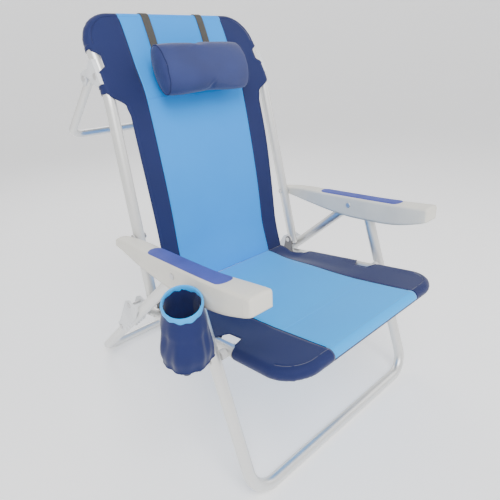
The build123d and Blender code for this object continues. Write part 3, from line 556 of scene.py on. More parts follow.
# ------------------------------------------------------------------ the two slings
@dataclass
class SlingForm:
    """The surface of a sling on a bent tube: where its threads run from one end to the cross bar.

    A point is (x, s): x across and s along the side tube. Where the cloth wraps the tube it is a
    sleeve, whose edge is counted as an arc from the tube's line, and inside the tube it is a hem.
    """

    place: Callable[[np.ndarray], np.ndarray]
    normal: Callable[[np.ndarray], np.ndarray]
    half: Callable[[np.ndarray], np.ndarray]
    lift: Callable[[np.ndarray, np.ndarray], np.ndarray]
    start: float
    end: float
    corner: float
    edge: Sequence[Tuple[float, float]]
    seam: float
    ripple: Sequence[Tuple[float, float, float]] = ()
    sleeve: float = SLEEVE_R
    tail: float = SLEEVE_TAIL
    layers: float = 0.0060
    step: float = 0.0016

    @property
    def wrap(self) -> float:
        """Arc from the tube's line, round it and in to the row of stitches behind."""
        return math.pi * self.sleeve + self.tail

    def along(self, s: np.ndarray) -> np.ndarray:
        """The (y, z) direction of the tube, at right angles to the normal."""
        n = self.normal(s)
        return np.stack([-n[..., 1], n[..., 0]], axis=-1) * self.turn

    @property
    def turn(self) -> float:
        """1 or -1, so that the tube's direction goes from start to end."""
        s = np.array([self.start, self.end])
        run = self.place(s)[1] - self.place(s)[0]
        n = self.normal(s)[0]
        return 1.0 if float(run @ np.array([-n[1], n[0]])) > 0.0 else -1.0

    def at(self, x: np.ndarray, s: np.ndarray) -> np.ndarray:
        """The point of the flat part: the tube's line moved by lift along the normal."""
        x, s = np.broadcast_arrays(x, s)
        side = self.place(s) + self.lift(x, s)[..., None] * self.normal(s)
        return np.concatenate([x[..., None], side], axis=-1)

    def rows(self) -> Tuple[np.ndarray, np.ndarray, np.ndarray]:
        """Steps along the side tube, round the corner and along the bar to the seam.

        Returns:
            For each step its length from the start, its angle round the corner, and its x.
        """
        low = self.end - self.corner
        straight = np.arange(self.start, low, self.step)
        a = np.linspace(0.0, math.pi / 2, 24)
        half = self.half(straight)
        top = float(self.half(np.array([self.end]))[0])
        s = np.concatenate([straight, low + self.corner * np.sin(a)])
        angle = np.concatenate([np.zeros(len(straight)), a])
        x = np.concatenate([half, top - self.corner * (1.0 - np.cos(a))])
        bar = np.linspace(top - self.corner, self.seam, 8)[1:]
        s = np.concatenate([s, np.full(7, self.end)])
        angle = np.concatenate([angle, np.full(7, math.pi / 2)])
        return s, angle, np.concatenate([x, bar])

    def wrapped(self, s: np.ndarray, angle: np.ndarray, x: np.ndarray, arc: np.ndarray) -> np.ndarray:
        """Points of the sleeve.

        Args:
            s, angle, x: One row for each step of the tube's line.
            arc: Lengths from the line round the tube, rows by columns.

        Returns:
            line + R sin(arc / R) outwards + R cos(arc / R) along the normal, and past half a turn a
            straight tail that runs in behind and rises to the front layer.
        """
        r = self.sleeve + self.puckers(s, angle)[:, None] * smooth(arc / (2.0 * self.sleeve))
        phi = np.clip(arc / self.sleeve, 0.0, math.pi)
        run = np.clip(arc - math.pi * self.sleeve, 0.0, None)
        out = r * np.sin(phi) - run
        over = np.where(run > 0.0, -r + (2.0 * r - self.layers) * smooth(run / self.tail), r * np.cos(phi))
        t, n = self.along(s), self.normal(s)
        base = self.place(s)
        px = x[:, None] + out * np.cos(angle)[:, None]
        side = (base[:, None, :] + (out * np.sin(angle)[:, None])[..., None] * t[:, None, :]
                + over[..., None] * n[:, None, :])
        return np.concatenate([px[..., None], side], axis=-1)

    def puckers(self, s: np.ndarray, angle: np.ndarray) -> np.ndarray:
        """Small gathers where the sleeve goes round the corner or is drawn tight."""
        path = s + self.corner * angle
        gathers = np.sin(path * 620.0) * 0.55 + np.sin(path * 1130.0 + 1.0) * 0.45
        total = 0.0008 * np.sin(2.0 * np.clip(angle, 0.0, math.pi / 2)) * gathers
        for low, high, depth in self.ripple:
            window = smooth((s - low) / 0.008) * smooth((high - s) / 0.008)
            total = total + depth * window * gathers * (angle == 0.0)
        return total

    def side_patches(self) -> List[Patch]:
        """The right side panel from the seam out, and its sleeves."""
        s, angle, x = self.rows()
        reach = eased(s, self.edge)
        reach = np.where(angle > 0.0, self.wrap, reach)
        flat = angle < math.pi / 2 - 1e-6
        flat[np.argmax(~flat)] = True
        share = np.linspace(0.0, 1.0, 15)[None, :]
        limit = (x + np.minimum(reach, 0.0))[flat][:, None]
        px = self.seam + (limit - self.seam) * share
        ps = np.broadcast_to(s[flat][:, None], px.shape)
        cloth = np.stack([px - self.seam, ps], axis=-1)
        hem = np.stack([(x + reach)[flat][:, None] - px, ps], axis=-1)
        panel = Patch(self.at(px, ps), cloth, hem)
        arc = np.clip(reach, 0.0, None)[:, None] * np.linspace(0.0, 1.0, 27)[None, :]
        on_bar = x[~flat].max() - x if (~flat).any() else 0.0
        path = s + self.corner * angle + (angle == math.pi / 2) * on_bar
        run = np.broadcast_to(path[:, None], arc.shape)
        cloth = np.stack([(x - self.seam)[:, None] + arc, run], axis=-1)
        hem = np.stack([reach[:, None] - arc, run], axis=-1)
        sleeve = Patch(self.wrapped(s, angle, x, arc), cloth, hem)
        return [panel, sleeve]

    def centre_patches(self, wrap_from: float = 0.0, wrap_to: float = 1.0, flat: bool = True) -> List[Patch]:
        """The middle panel between the seams, and its sleeve over the cross bar.

        Args:
            wrap_from, wrap_to: Which share of the sleeve's arc is made.
            flat: Whether the flat panel is made too.

        Returns:
            The patches.
        """
        x = np.linspace(-self.seam, self.seam, 49)
        made = []
        if flat:
            s = np.append(np.arange(self.start, self.end, self.step * 1.5), self.end)
            grid = self.at(x[None, :], s[:, None])
            nearest = self.seam - np.abs(x)
            cloth = np.stack(np.broadcast_arrays(nearest[None, :], s[:, None]), axis=-1)
            made.append(Patch(grid, cloth, cloth + 0.05))
        arc = np.linspace(wrap_from * self.wrap, wrap_to * self.wrap, 26)
        bar = np.full(len(x), self.end)
        points = self.wrapped(bar, np.full(len(x), math.pi / 2), x, np.broadcast_to(arc, (len(x), len(arc))))
        points = np.transpose(points, (1, 0, 2))
        near = np.broadcast_to(self.seam - np.abs(x)[None, :], points.shape[:2])
        run = np.broadcast_to(self.end + arc[:, None], points.shape[:2])
        made.append(Patch(points, np.stack([near, run], axis=-1), np.stack([near + 0.05, run], axis=-1)))
        return made

    def hem_roll(self) -> Patch:
        """The folded edge of the right panel where it isn't sewn behind: a thin roll on the edge."""
        s, angle, x = self.rows()
        reach = eased(s, self.edge)
        keep = (angle == 0.0) & (s < self.hem_end)
        s, x, reach, angle = s[keep], x[keep], reach[keep], angle[keep]
        inside = self.at(x + np.minimum(reach, 0.0), s)
        round_it = self.wrapped(s, angle, x, np.clip(reach, 0.0, None)[:, None])[:, 0]
        path = np.where((reach > 0.0)[:, None], round_it, inside)
        up = np.concatenate([np.zeros((len(s), 1)), self.normal(s)], axis=1)
        return swept(path, up, 0.0011, 0.0013, 8)

    @property
    def hem_end(self) -> float:
        """Where the last full sleeve starts, which has no open edge."""
        open_knots = [k[0] for k in self.edge if k[1] < self.wrap * 0.98]
        return open_knots[-1]

    def seam_roll(self, x: float, lengths: Tuple[float, float], radius: float = 0.0009) -> Patch:
        """A sewn ridge along the sling at one x."""
        s = np.arange(lengths[0], lengths[1], 0.006)
        path = self.at(np.full(len(s), x), s)
        up = np.concatenate([np.zeros((len(s), 1)), self.normal(s)], axis=1)
        return swept(path, up, radius * 1.6, radius, 8)

    def cross_roll(self, s: float, x: float, radius: float = 0.0009) -> Patch:
        """A sewn ridge across the sling at one s, from -x to x."""
        across = np.linspace(-x, x, 61)
        path = self.at(across, np.full(61, s))
        up = np.zeros((61, 3))
        up[:, 1:] = self.normal(np.full(61, s))
        return swept(path, up, radius * 1.6, radius, 8)


@dataclass
class BackSling:
    """The back's sling: a cyan centre, navy sides, a tab on each tube and a sleeve over the top bar."""

    finishes: Finishes
    pivot: Tuple[float, float] = field(default_factory=lambda: joint_pivot("back_fold"))
    lean: float = math.radians(11.42)
    top_lean: float = math.radians(28.4)
    bend: float = 0.451
    bend_radius: float = 0.160
    top: float = 0.617
    halves: Tuple[float, float, float] = (0.2419, 0.2239, 0.2210)
    seam: float = 0.142
    cloth: float = 0.0014
    sag: float = 0.0125

    def __post_init__(self) -> None:
        """Works out the tube's side view by adding up short steps of its direction."""
        self.table = np.arange(-0.03, 0.70, 0.0005)
        spread = self.bend_radius * (self.top_lean - self.lean) / 2
        turn = np.clip((self.table - self.bend + spread) / (2 * spread), 0.0, 1.0)
        lean = self.lean + (self.top_lean - self.lean) * turn
        steps = np.stack([np.sin(lean), np.cos(lean)], axis=-1) * 0.0005
        line = np.cumsum(steps, axis=0)
        zero = np.stack([np.interp(0.0, self.table, line[:, k]) for k in (0, 1)])
        self.line = line - zero + np.array(self.pivot)
        self.normals = np.stack([-np.cos(lean), np.sin(lean)], axis=-1)
        full = FULL_SLEEVE
        edge = [(-0.05, -0.052), (0.0, -0.052), (0.400, -0.0365), (0.424, -0.031), (0.4505, 0.004),
                (0.4545, full), (0.4875, full), (0.4905, 0.012), (0.508, -0.0085), (0.530, -0.0085),
                (0.5465, 0.010), (0.5505, full), (0.70, full)]
        self.form = SlingForm(self.place, self.normal, self.half, self.lift, CREASE_S, self.top, 0.060,
                              edge, self.seam, [(0.452, 0.490, 0.0009)])

    def place(self, s: np.ndarray) -> np.ndarray:
        """The tube's (y, z) at lengths above the pivot."""
        return np.stack([np.interp(s, self.table, self.line[:, k]) for k in (0, 1)], axis=-1)

    def normal(self, s: np.ndarray) -> np.ndarray:
        """The direction ahead of the tube."""
        return np.stack([np.interp(s, self.table, self.normals[:, k]) for k in (0, 1)], axis=-1)

    def half(self, s: np.ndarray) -> np.ndarray:
        """The tube's distance from the middle."""
        return np.interp(s, [0.0, self.bend, self.top], self.halves)

    def lift(self, x: np.ndarray, s: np.ndarray) -> np.ndarray:
        """The cloth's distance ahead of the tube: on it at the tube, with a shallow hollow between."""
        ends = smooth((self.top - s) / 0.12) * smooth((s - CREASE_S) / 0.10)
        hollow = self.sag * (1.0 - (x / self.half(s)) ** 2) * ends
        foot = 0.0169 * (1.0 - smooth((s - CREASE_S) / 0.30))
        pulls = 0.0007 * np.sin(x * 41.0 + 1.3) * smooth((self.top - s) / 0.02) * smooth((s - 0.50) / 0.06)
        folds = 0.0005 * np.sin(s * 33.0 + x * 17.0)
        rim = smooth((self.half(s) - np.abs(x)) / 0.02)
        return SLEEVE_R - hollow - foot + (pulls + folds) * rim

    def build(self) -> None:
        """Makes the centre, the two sides, the seams and the edge rolls."""
        ahead = (0.0, -1.0, 0.2)
        centre = piece("back_sling_centre", self.form.centre_patches(), ahead)
        thicken(centre, self.cloth)
        # The centre takes the darker cyan copy, whose tone is painted shade.
        self.finishes.dress(centre, "back_fabric")
        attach(centre, "back")
        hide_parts("back_fabric")
        patches = self.form.side_patches()
        names = []
        for side in Side:
            own = patches if side is Side.RIGHT else [p.mirrored() for p in patches]
            panel = piece(f"back_sling_side_{side.word}", own, ahead)
            thicken(panel, self.cloth)
            rolls = [self.form.hem_roll(), self.form.seam_roll(self.seam, (-0.006, self.top))]
            if side is Side.LEFT:
                rolls = [r.mirrored() for r in rolls]
            roll = piece(f"back_sling_edge_{side.word}", rolls)
            for made in (panel, roll):
                self.finishes.dress(made, "navy_fabric")
                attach(made, "back")
            names.append(roll)
            LOG.info("back sling, %s side: %d faces", side.word, len(panel.data.polygons))
        cross = piece("back_sling_cross_seam", [self.form.cross_roll(0.4356, self.seam, 0.0006)])
        # The cross seam takes the same darker cyan copy, painted shade.
        self.finishes.dress(cross, "back_fabric")
        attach(cross, "back")


@dataclass
class SeatSling:
    """The seat's sling: a cyan centre, navy sides with sleeves, a notch at each leg pivot."""

    finishes: Finishes
    height: float = 0.3069
    slope: float = 0.133
    half_width: float = 0.237
    front: float = -0.066
    rear: float = 0.3678
    corner: float = 0.056
    seam: float = 0.141
    crease_rise: float = 0.0227
    cloth: float = 0.0014
    sag: float = 0.004

    def __post_init__(self) -> None:
        """Lays the sling along the side tube, from the crease forward to the front bar."""
        tilt = math.atan(self.slope)
        self.ahead = np.array([-math.cos(tilt), math.sin(tilt)])
        self.up = np.array([math.sin(tilt), math.cos(tilt)])
        self.length = (self.rear - self.front) / math.cos(tilt)
        full = FULL_SLEEVE

        def mark(y: float) -> float:
            """The length from the crease of a place along Y."""
            return (self.rear - y) / math.cos(tilt)

        edge = [(-0.05, -0.048), (mark(0.330), -0.047), (mark(0.302), -0.02), (mark(0.296), full),
                (mark(0.146), full), (mark(0.140), 0.0), (mark(0.126), -0.026), (mark(0.090), -0.026),
                (mark(0.078), 0.0), (mark(0.073), full), (0.6, full)]
        self.form = SlingForm(self.place, self.normal, self.half, self.lift, 0.0, self.length, self.corner,
                              edge, self.seam, [(mark(0.30), mark(0.14), 0.0004)])
        self.mark = mark

    def place(self, s: np.ndarray) -> np.ndarray:
        """The seat tube's (y, z) at lengths forward of the crease."""
        start = np.array([self.rear, self.height - self.slope * self.rear])
        return start + np.asarray(s)[..., None] * self.ahead

    def normal(self, s: np.ndarray) -> np.ndarray:
        """The direction up from the seat."""
        return np.broadcast_to(self.up, np.shape(s) + (2,))

    def half(self, s: np.ndarray) -> np.ndarray:
        """The side tube's distance from the middle."""
        return np.full(np.shape(s), self.half_width)

    def lift(self, x: np.ndarray, s: np.ndarray) -> np.ndarray:
        """The cloth's height over the tube: a hollow in the middle, and a rise to the crease."""
        share = 1.0 - (x / self.half_width) ** 2
        hollow = self.sag * share * smooth((self.length - s) / 0.12) * smooth(s / 0.12)
        inside = smooth((0.19 - np.abs(x)) / 0.07)
        long_rise = np.clip(1.0 - s / 0.30, 0.0, 1.0)
        short_rise = (1.0 - smooth(s / 0.078)) ** 1.2
        rise = self.crease_rise * (inside * long_rise + (1.0 - inside) * short_rise)
        folds = 0.0006 * np.sin(s * 38.0 + x * 13.0) * smooth((self.half_width - np.abs(x)) / 0.02)
        return SLEEVE_R - hollow + rise + folds * smooth(s / 0.05)

    def build(self) -> None:
        """Makes the centre, the band under the front, the two sides, seams and edge rolls."""
        up = (0.0, 0.1, 1.0)
        share = SLEEVE_R * 1.75 / self.form.wrap
        centre = piece("seat_sling_centre", self.form.centre_patches(0.0, share), up)
        under = piece("seat_sling_front_band", self.form.centre_patches(share, 1.0, flat=False),
                      (0.0, -0.6, -1.0))
        crease_start = tuple(self.form.at(np.array(0.0), np.array(0.030)))
        crease_end = tuple(self.form.at(np.array(0.0), np.array(0.0)))
        self.finishes.dress(centre, "cyan_fabric")
        self.finishes.dress(under, "navy_fabric")
        for made in (centre, under):
            thicken(made, self.cloth)
        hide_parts("seat_fabric")
        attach(under, "seat")
        cross = piece("seat_sling_cross_seam", [self.form.cross_roll(self.mark(0.050), self.seam, 0.0006)])
        self.finishes.dress(cross, "cyan_fabric")
        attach(cross, "seat")
        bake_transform(centre)
        patches = self.form.side_patches()
        for side in Side:
            own = patches if side is Side.RIGHT else [p.mirrored() for p in patches]
            panel = piece(f"seat_sling_side_{side.word}", own, up)
            thicken(panel, self.cloth)
            rolls = [self.form.hem_roll(), self.form.seam_roll(self.seam, (0.0, self.length))]
            if side is Side.LEFT:
                rolls = [r.mirrored() for r in rolls]
            roll = piece(f"seat_sling_edge_{side.word}", rolls)
            for made in (panel, roll):
                self.finishes.dress(made, "navy_fabric")
                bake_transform(made)
            LOG.info("seat sling, %s side: %d faces", side.word, len(panel.data.polygons))


# ------------------------------------------------------------------ head pillow
@dataclass
class Pillow:
    """The head pillow: a bolster with a lens-shaped section, end panels and piping."""

    finishes: Finishes
    sling: BackSling
    half_length: float = 0.118
    half_height: float = 0.058
    half_depth: float = 0.031
    centre_s: float = 0.477
    gap: float = 0.0042
    pipe: float = 0.0018

    def section(self, share: np.ndarray, size: float = 1.0) -> np.ndarray:
        """The section's outline as (ahead, up): flat behind, full in front, drawn in at both tips.

        Args:
            share: Turns round it, from 0 to 1.
            size: Its scale.

        Returns:
            half_depth * |cos a| ^ 0.9 * sign(cos a) * fullness, half_height * |sin a| ^ 1.08 * sign(sin a).
        """
        a = share * 2.0 * math.pi
        front = np.cos(a)
        ahead = self.half_depth * np.where(front > 0.0, 1.12, 0.86) * np.sign(front) * np.abs(front) ** 0.9
        up = self.half_height * np.sign(np.sin(a)) * np.abs(np.sin(a)) ** 1.08
        return np.stack([ahead, up], axis=-1) * size

    def body(self, size: float) -> np.ndarray:
        """Rings of the closed bolster: the end panels bulge a little and the body has a slight crown."""
        along = np.array([0.0, 0.35, 0.7, 0.9, 0.975])
        cap = 0.006 * (1.0 - along ** 2)
        x = np.linspace(-1.0, 1.0, 61) * self.half_length
        crown = 1.0 - (x / self.half_length) ** 4
        pinch = np.exp(-(self.half_length - np.abs(x)) / 0.008)
        scale = 1.0 + 0.05 * crown - 0.05 * pinch
        rings = [(-self.half_length - c, k) for k, c in zip(along, cap)]
        rings += list(zip(x, scale))
        rings += [(self.half_length + c, k) for k, c in reversed(list(zip(along, cap)))]
        share = np.linspace(0.0, 1.0, 65)
        outline = self.section(share)
        shorter = 0.5 + 0.5 * size
        return np.stack([self.placed(np.full(65, px * shorter), outline * k * size) for px, k in rings])

    def placed(self, x: np.ndarray, outline: np.ndarray) -> np.ndarray:
        """Carries section points to the back's upper stretch."""
        centre, ahead, up = self.axes
        side = centre + outline[..., :1] * ahead + outline[..., 1:] * up
        return np.concatenate([x[..., None], side], axis=-1)

    def swell(self, made: bpy.types.Object) -> None:
        """Fills the pillow with pressure under a cloth simulation, then keeps the result.

        Args:
            made: The pillow, slightly too small.
        """
        remesh = made.modifiers.new("Even mesh", "REMESH")
        remesh.mode = "VOXEL"
        remesh.voxel_size = 0.0045
        self.apply(made)
        before = np.zeros(len(made.data.vertices) * 3)
        made.data.vertices.foreach_get("co", before)
        cloth = made.modifiers.new("Filling", "CLOTH")
        cloth.settings.use_pressure = True
        cloth.settings.uniform_pressure_force = 4.0
        cloth.settings.effector_weights.gravity = 0.0
        cloth.settings.quality = 6
        cloth.settings.tension_stiffness = 25.0
        cloth.settings.bending_stiffness = 1.2
        for number in range(1, 21):
            bpy.context.scene.frame_set(number)
        self.apply(made)
        after = np.zeros(len(before))
        made.data.vertices.foreach_get("co", after)
        move = (after - before).reshape(-1, 3)
        far = np.linalg.norm(move, axis=1, keepdims=True)
        move *= np.minimum(1.0, 0.006 / np.maximum(far, 1e-9))
        made.data.vertices.foreach_set("co", (before.reshape(-1, 3) + move).ravel())
        bpy.context.scene.frame_set(1)
        made.data.polygons.foreach_set("use_smooth", np.ones(len(made.data.polygons), bool))

    @staticmethod
    def apply(made: bpy.types.Object) -> None:
        """Replaces a mesh with what its modifiers make of it."""
        depsgraph = bpy.context.evaluated_depsgraph_get()
        mesh = bpy.data.meshes.new_from_object(made.evaluated_get(depsgraph))
        made.modifiers.clear()
        made.data = mesh

    def build(self) -> None:
        """Makes the pillow and its piping."""
        sling = self.sling
        s = np.array([self.centre_s])
        lean = (sling.lean + sling.top_lean) / 2 + 0.05
        ahead = np.array([-math.cos(lean), math.sin(lean)])
        up = np.array([math.sin(lean), math.cos(lean)])
        base = sling.place(s)[0]
        self.axes = (base + ahead * (SLEEVE_R + self.gap + self.half_depth), ahead, up)
        size = 0.95
        made = piece("head_pillow", [Patch(self.body(size))])
        self.swell(made)
        rounder = made.modifiers.new("Rounding", "SUBSURF")
        rounder.levels = 1
        rounder.render_levels = 1
        tree = self.tree_of(made)
        share = np.linspace(0.0, 1.0, 121)
        pipes = []
        for side in Side:
            ring = self.placed(np.full(121, side.value * self.half_length), self.section(share) * 1.1)
            path = np.array([list(tree.find_nearest(Vector(p))[0]) for p in ring])
            path = self.rounded_loop(path)
            up3 = np.broadcast_to(np.array([side.value, 0.0, 0.0]), path.shape)
            pipes.append(swept(path, up3, self.pipe, self.pipe, 10))
        pipe = piece("head_pillow_piping", pipes)
        low = self.placed(np.linspace(-self.half_length, self.half_length, 61),
                          np.broadcast_to(self.section(np.array([0.25])) * 1.08, (61, 2)))
        path = np.array([list(tree.find_nearest(Vector(p))[0]) for p in low])
        along_up = np.broadcast_to([0.0, *up], path.shape)
        ridge = piece("head_pillow_top_seam", [swept(path, along_up, 0.0012, 0.0009, 8)])
        for item in (made, pipe, ridge):
            self.finishes.dress(item, "navy_fabric")
            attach(item, "pillow")
        made.data.materials.clear()
        made.data.materials.append(self.plain_cloth())
        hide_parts("pillow")
        LOG.info("head pillow: %d faces", len(made.data.polygons))

    @staticmethod
    def rounded_loop(path: np.ndarray) -> np.ndarray:
        """Evens a closed loop by averaging each point with its neighbours."""
        loop = path[:-1]
        for _ in range(3):
            loop = 0.5 * loop + 0.25 * (np.roll(loop, 1, axis=0) + np.roll(loop, -1, axis=0))
        return np.concatenate([loop, loop[:1]])

    @staticmethod
    def plain_cloth() -> bpy.types.Material:
        """The navy cloth for a mesh with no map of its own: the weave reads Object coordinates."""
        material, n, shader = new_material("Navy polyester, filled")
        place = n.add("ShaderNodeTexCoord").outputs["Object"]
        turn = (math.radians(70.0), 0.0, 0.0)
        turned = n.add("ShaderNodeMapping", {"Vector": place, "Rotation": turn}).outputs[0]
        weave = n.effect(EFFECTS.weave, Vector=turned, Pitch=0.0009)
        mottle = n.effect(EFFECTS.mottle, Vector=place, Broad=16.0, Fine=420.0)
        colour = n.mix(mottle.outputs["Broad"], linear((0.13, 0.20, 0.45)), linear((0.08, 0.13, 0.33)))
        height = n.math("ADD", n.math("MULTIPLY", weave.outputs["Height"], 0.4), mottle.outputs["Broad"])
        fine = n.add("ShaderNodeBump", {"Height": height, "Strength": 0.5, "Distance": 0.0008})
        n.set_shader(shader, colour, fine.outputs[0])
        shader.inputs["Roughness"].default_value = 0.62
        shader.inputs["Sheen Weight"].default_value = 0.3
        shader.inputs["Sheen Roughness"].default_value = 0.4
        return material

    @staticmethod
    def tree_of(made: bpy.types.Object) -> BVHTree:
        """A search tree of the finished mesh."""
        bpy.context.view_layer.update()
        return BVHTree.FromObject(made, bpy.context.evaluated_depsgraph_get())


@dataclass
class Elastics:
    """Two elastic bands over the top bar, down to the pillow and behind the sling."""

    finishes: Finishes
    sling: BackSling
    x: float = 0.075
    width: float = 0.020
    thickness: float = 0.0012
    gap: float = 0.0006
    lower_end: float = 0.4995
    behind_length: float = 0.075

    def build(self) -> None:
        """Makes each band as a strip that follows the sling and turns over the bar."""
        form = self.sling.form
        for side in Side:
            s = np.linspace(self.lower_end, form.end, 40)
            middle = np.full(40, self.x)
            front = form.at(middle, s)[:, 1:] + (self.thickness + self.gap) * form.normal(s)
            bar = form.place(np.array([form.end]))[0]
            n = form.normal(np.array([form.end]))[0]
            t = form.along(np.array([form.end]))[0]
            r = form.sleeve + self.thickness + self.gap
            a = np.linspace(0.0, math.pi, 24)[1:]
            over = bar + r * (np.cos(a)[:, None] * n + np.sin(a)[:, None] * t)
            d = np.linspace(0.0, self.behind_length, 14)[1:]
            behind = bar - t * d[:, None] - n * r
            line = np.concatenate([front, over, behind])
            x = np.linspace(-0.5, 0.5, 9) * self.width + self.x
            ribs = 0.0002 * np.cos(np.linspace(-0.5, 0.5, 9) * 6.0 * math.pi)
            turn = np.gradient(line, axis=0)
            turn /= np.linalg.norm(turn, axis=1, keepdims=True)
            out = np.stack([-turn[:, 1], turn[:, 0]], axis=-1)
            side_view = line[:, None, :] + ribs[None, :, None] * out[:, None, :]
            px = np.broadcast_to(x[None, :], side_view.shape[:2])
            points = np.concatenate([px[..., None], side_view], axis=-1)
            run = np.concatenate([[0.0], np.cumsum(np.linalg.norm(np.diff(line, axis=0), axis=1))])
            cloth = np.stack(np.broadcast_arrays(x[None, :] - self.x, run[:, None]), axis=-1)
            patch = Patch(points, cloth)
            band = piece(f"pillow_elastic_{side.word}", [patch if side is Side.RIGHT else patch.mirrored()],
                         (0.0, -1.0, 0.4))
            thicken(band, self.thickness)
            self.finishes.dress(band, "elastic")
            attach(band, "back")
            if side is Side.LEFT:
                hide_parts("pillow_elastics")
            LOG.info("elastic %s: %.0f mm long", side.word, run[-1] * 1000)


# ------------------------------------------------------------------ armrests
@dataclass
class Armrest:
    """A moulded armrest: a hollow shell with a waist below, a rounded nose and a blue inlay."""

    finishes: Finishes
    side: Side
    inner: float = 0.2495
    outer: float = 0.2915
    tail_inner: float = 0.253
    tail_outer: float = 0.285
    front: float = -0.032
    rear: float = 0.424
    wall: float = 0.0025
    front_flare: float = 0.008
    flare_length: float = 0.147
    edge: float = 0.0065
    crown: float = 0.0012
    top_knots: Tuple[Tuple[float, float], ...] = (
        (-0.032, 0.4795), (0.0, 0.4765), (0.09, 0.469), (0.18, 0.4645), (0.26, 0.461), (0.37, 0.4565),
        (0.424, 0.450))
    low_knots: Tuple[Tuple[float, float], ...] = (
        (-0.032, 0.4475), (0.0, 0.436), (0.035, 0.4255), (0.08, 0.4175), (0.13, 0.414), (0.19, 0.4125),
        (0.25, 0.417), (0.30, 0.423), (0.36, 0.4305), (0.424, 0.4365))

    def halves(self, y: np.ndarray) -> Tuple[np.ndarray, np.ndarray]:
        """The inner and outer faces: wider inwards at the nose, drawn in over the last 124 mm."""
        share = smooth((y - 0.300) / (self.rear - 0.300))
        flare = self.front_flare * (1.0 - smooth((y - self.front) / self.flare_length))
        return (self.inner + (self.tail_inner - self.inner) * share - flare,
                self.outer + (self.tail_outer - self.outer) * share)

    def shell(self) -> Patch:
        """The outer skin: a rounded section carried from nose to tail.

        Each section goes up the inner skirt, round the corner, over the crowned top and down the
        outer skirt. Near each end it is drawn in by r - sqrt(r^2 - (r - d)^2), at d from the end.
        """
        r = 0.006
        turn = np.linspace(0.0, math.pi / 2, 9)
        ends = r * (1.0 - np.cos(turn))
        y = np.concatenate([self.front + ends, np.linspace(self.front + r, self.rear - r, 90)[1:-1],
                            (self.rear - ends)[::-1]])
        d = np.minimum(y - self.front, self.rear - y)
        draw = r - np.sqrt(np.clip(r * r - np.clip(r - d, 0.0, None) ** 2, 0.0, None))
        inner, outer = self.halves(y)
        inner, outer = inner + draw, outer - draw
        top = rounded_curve(y, self.top_knots) - draw
        low = rounded_curve(y, self.low_knots)
        middle, half = (inner + outer) / 2, (outer - inner) / 2
        corner = np.minimum(self.edge, half * 0.8)
        up = np.linspace(0.0, 1.0, 9)
        arc = np.linspace(0.0, math.pi / 2, 8)[1:]
        across = np.linspace(-1.0, 1.0, 13)[1:-1]
        flare = 0.0012 * (1.0 - up)[None, :]
        skirt_z = low[:, None] + (top - corner - low)[:, None] * up[None, :]
        skirt_x = -half[:, None] - flare * (d > r)[:, None]
        skirt_x = np.broadcast_to(skirt_x, skirt_z.shape)
        arc_x = -half[:, None] + corner[:, None] * (1.0 - np.cos(arc))[None, :]
        arc_z = (top - corner)[:, None] + corner[:, None] * np.sin(arc)[None, :]
        top_x = (half - corner)[:, None] * across[None, :]
        top_z = top[:, None] + self.crown * (1.0 - across ** 2)[None, :]
        x = np.concatenate([skirt_x, arc_x, top_x, -arc_x[:, ::-1], -skirt_x[:, ::-1]], axis=1)
        x = x + middle[:, None]
        z = np.concatenate([skirt_z, arc_z, top_z, arc_z[:, ::-1], skirt_z[:, ::-1]], axis=1)
        points = np.stack([x, np.broadcast_to(y[:, None], x.shape), z], axis=-1)
        caps = []
        for row in (0, -1):
            cap = points[row].copy()
            cap[:, 0] = middle[row]
            caps.append(cap[None])
        return Patch(np.concatenate([caps[0], points, caps[1]]))

    def inlay(self) -> List[Patch]:
        """The inlay: a long pad whose top stands proud and rolls down at its rim.

        Its half width is that of a strip with round ends, and its height above the armrest is
        proud * (1 - rim distance share ^ 8).
        """
        y0, y1, proud, sink = 0.045, 0.283, 0.0011, 0.0014
        turn = np.linspace(0.0, math.pi, 120)
        y = (y0 + y1) / 2 - (y1 - y0) / 2 * np.cos(turn)
        inner, outer = self.halves(y)
        middle, half = ((inner + outer) / 2)[:, None], (outer - inner) / 2 - 0.0042
        d = np.minimum(y - y0, y1 - y)
        width = half * np.sqrt(np.clip(1.0 - np.clip(1.0 - d / half, 0.0, 1.0) ** 2.6, 0.0, 1.0))
        across = np.sin(np.linspace(-0.5, 0.5, 25) * math.pi)
        x = width[:, None] * across[None, :]
        bulge = self.crown * (1.0 - (x / (half[:, None] + 0.004)) ** 2)
        base = rounded_curve(y, self.top_knots)[:, None] + bulge
        rim = np.maximum(np.abs(across)[None, :], np.clip(1.0 - d / 0.003, 0.0, 1.0)[:, None])
        z = base + proud * (1.0 - rim ** 8)
        py = np.broadcast_to(y[:, None], x.shape)
        top = np.stack([x + middle, py, z], axis=-1)
        wall = np.stack([top[:, -1], top[:, -1] - [0.0, 0.0, sink]])
        wall2 = np.stack([top[:, 0], top[:, 0] - [0.0, 0.0, sink]])
        bottom = np.stack([wall[1], wall2[1]])
        return [Patch(top), Patch(wall), Patch(wall2), Patch(bottom)]

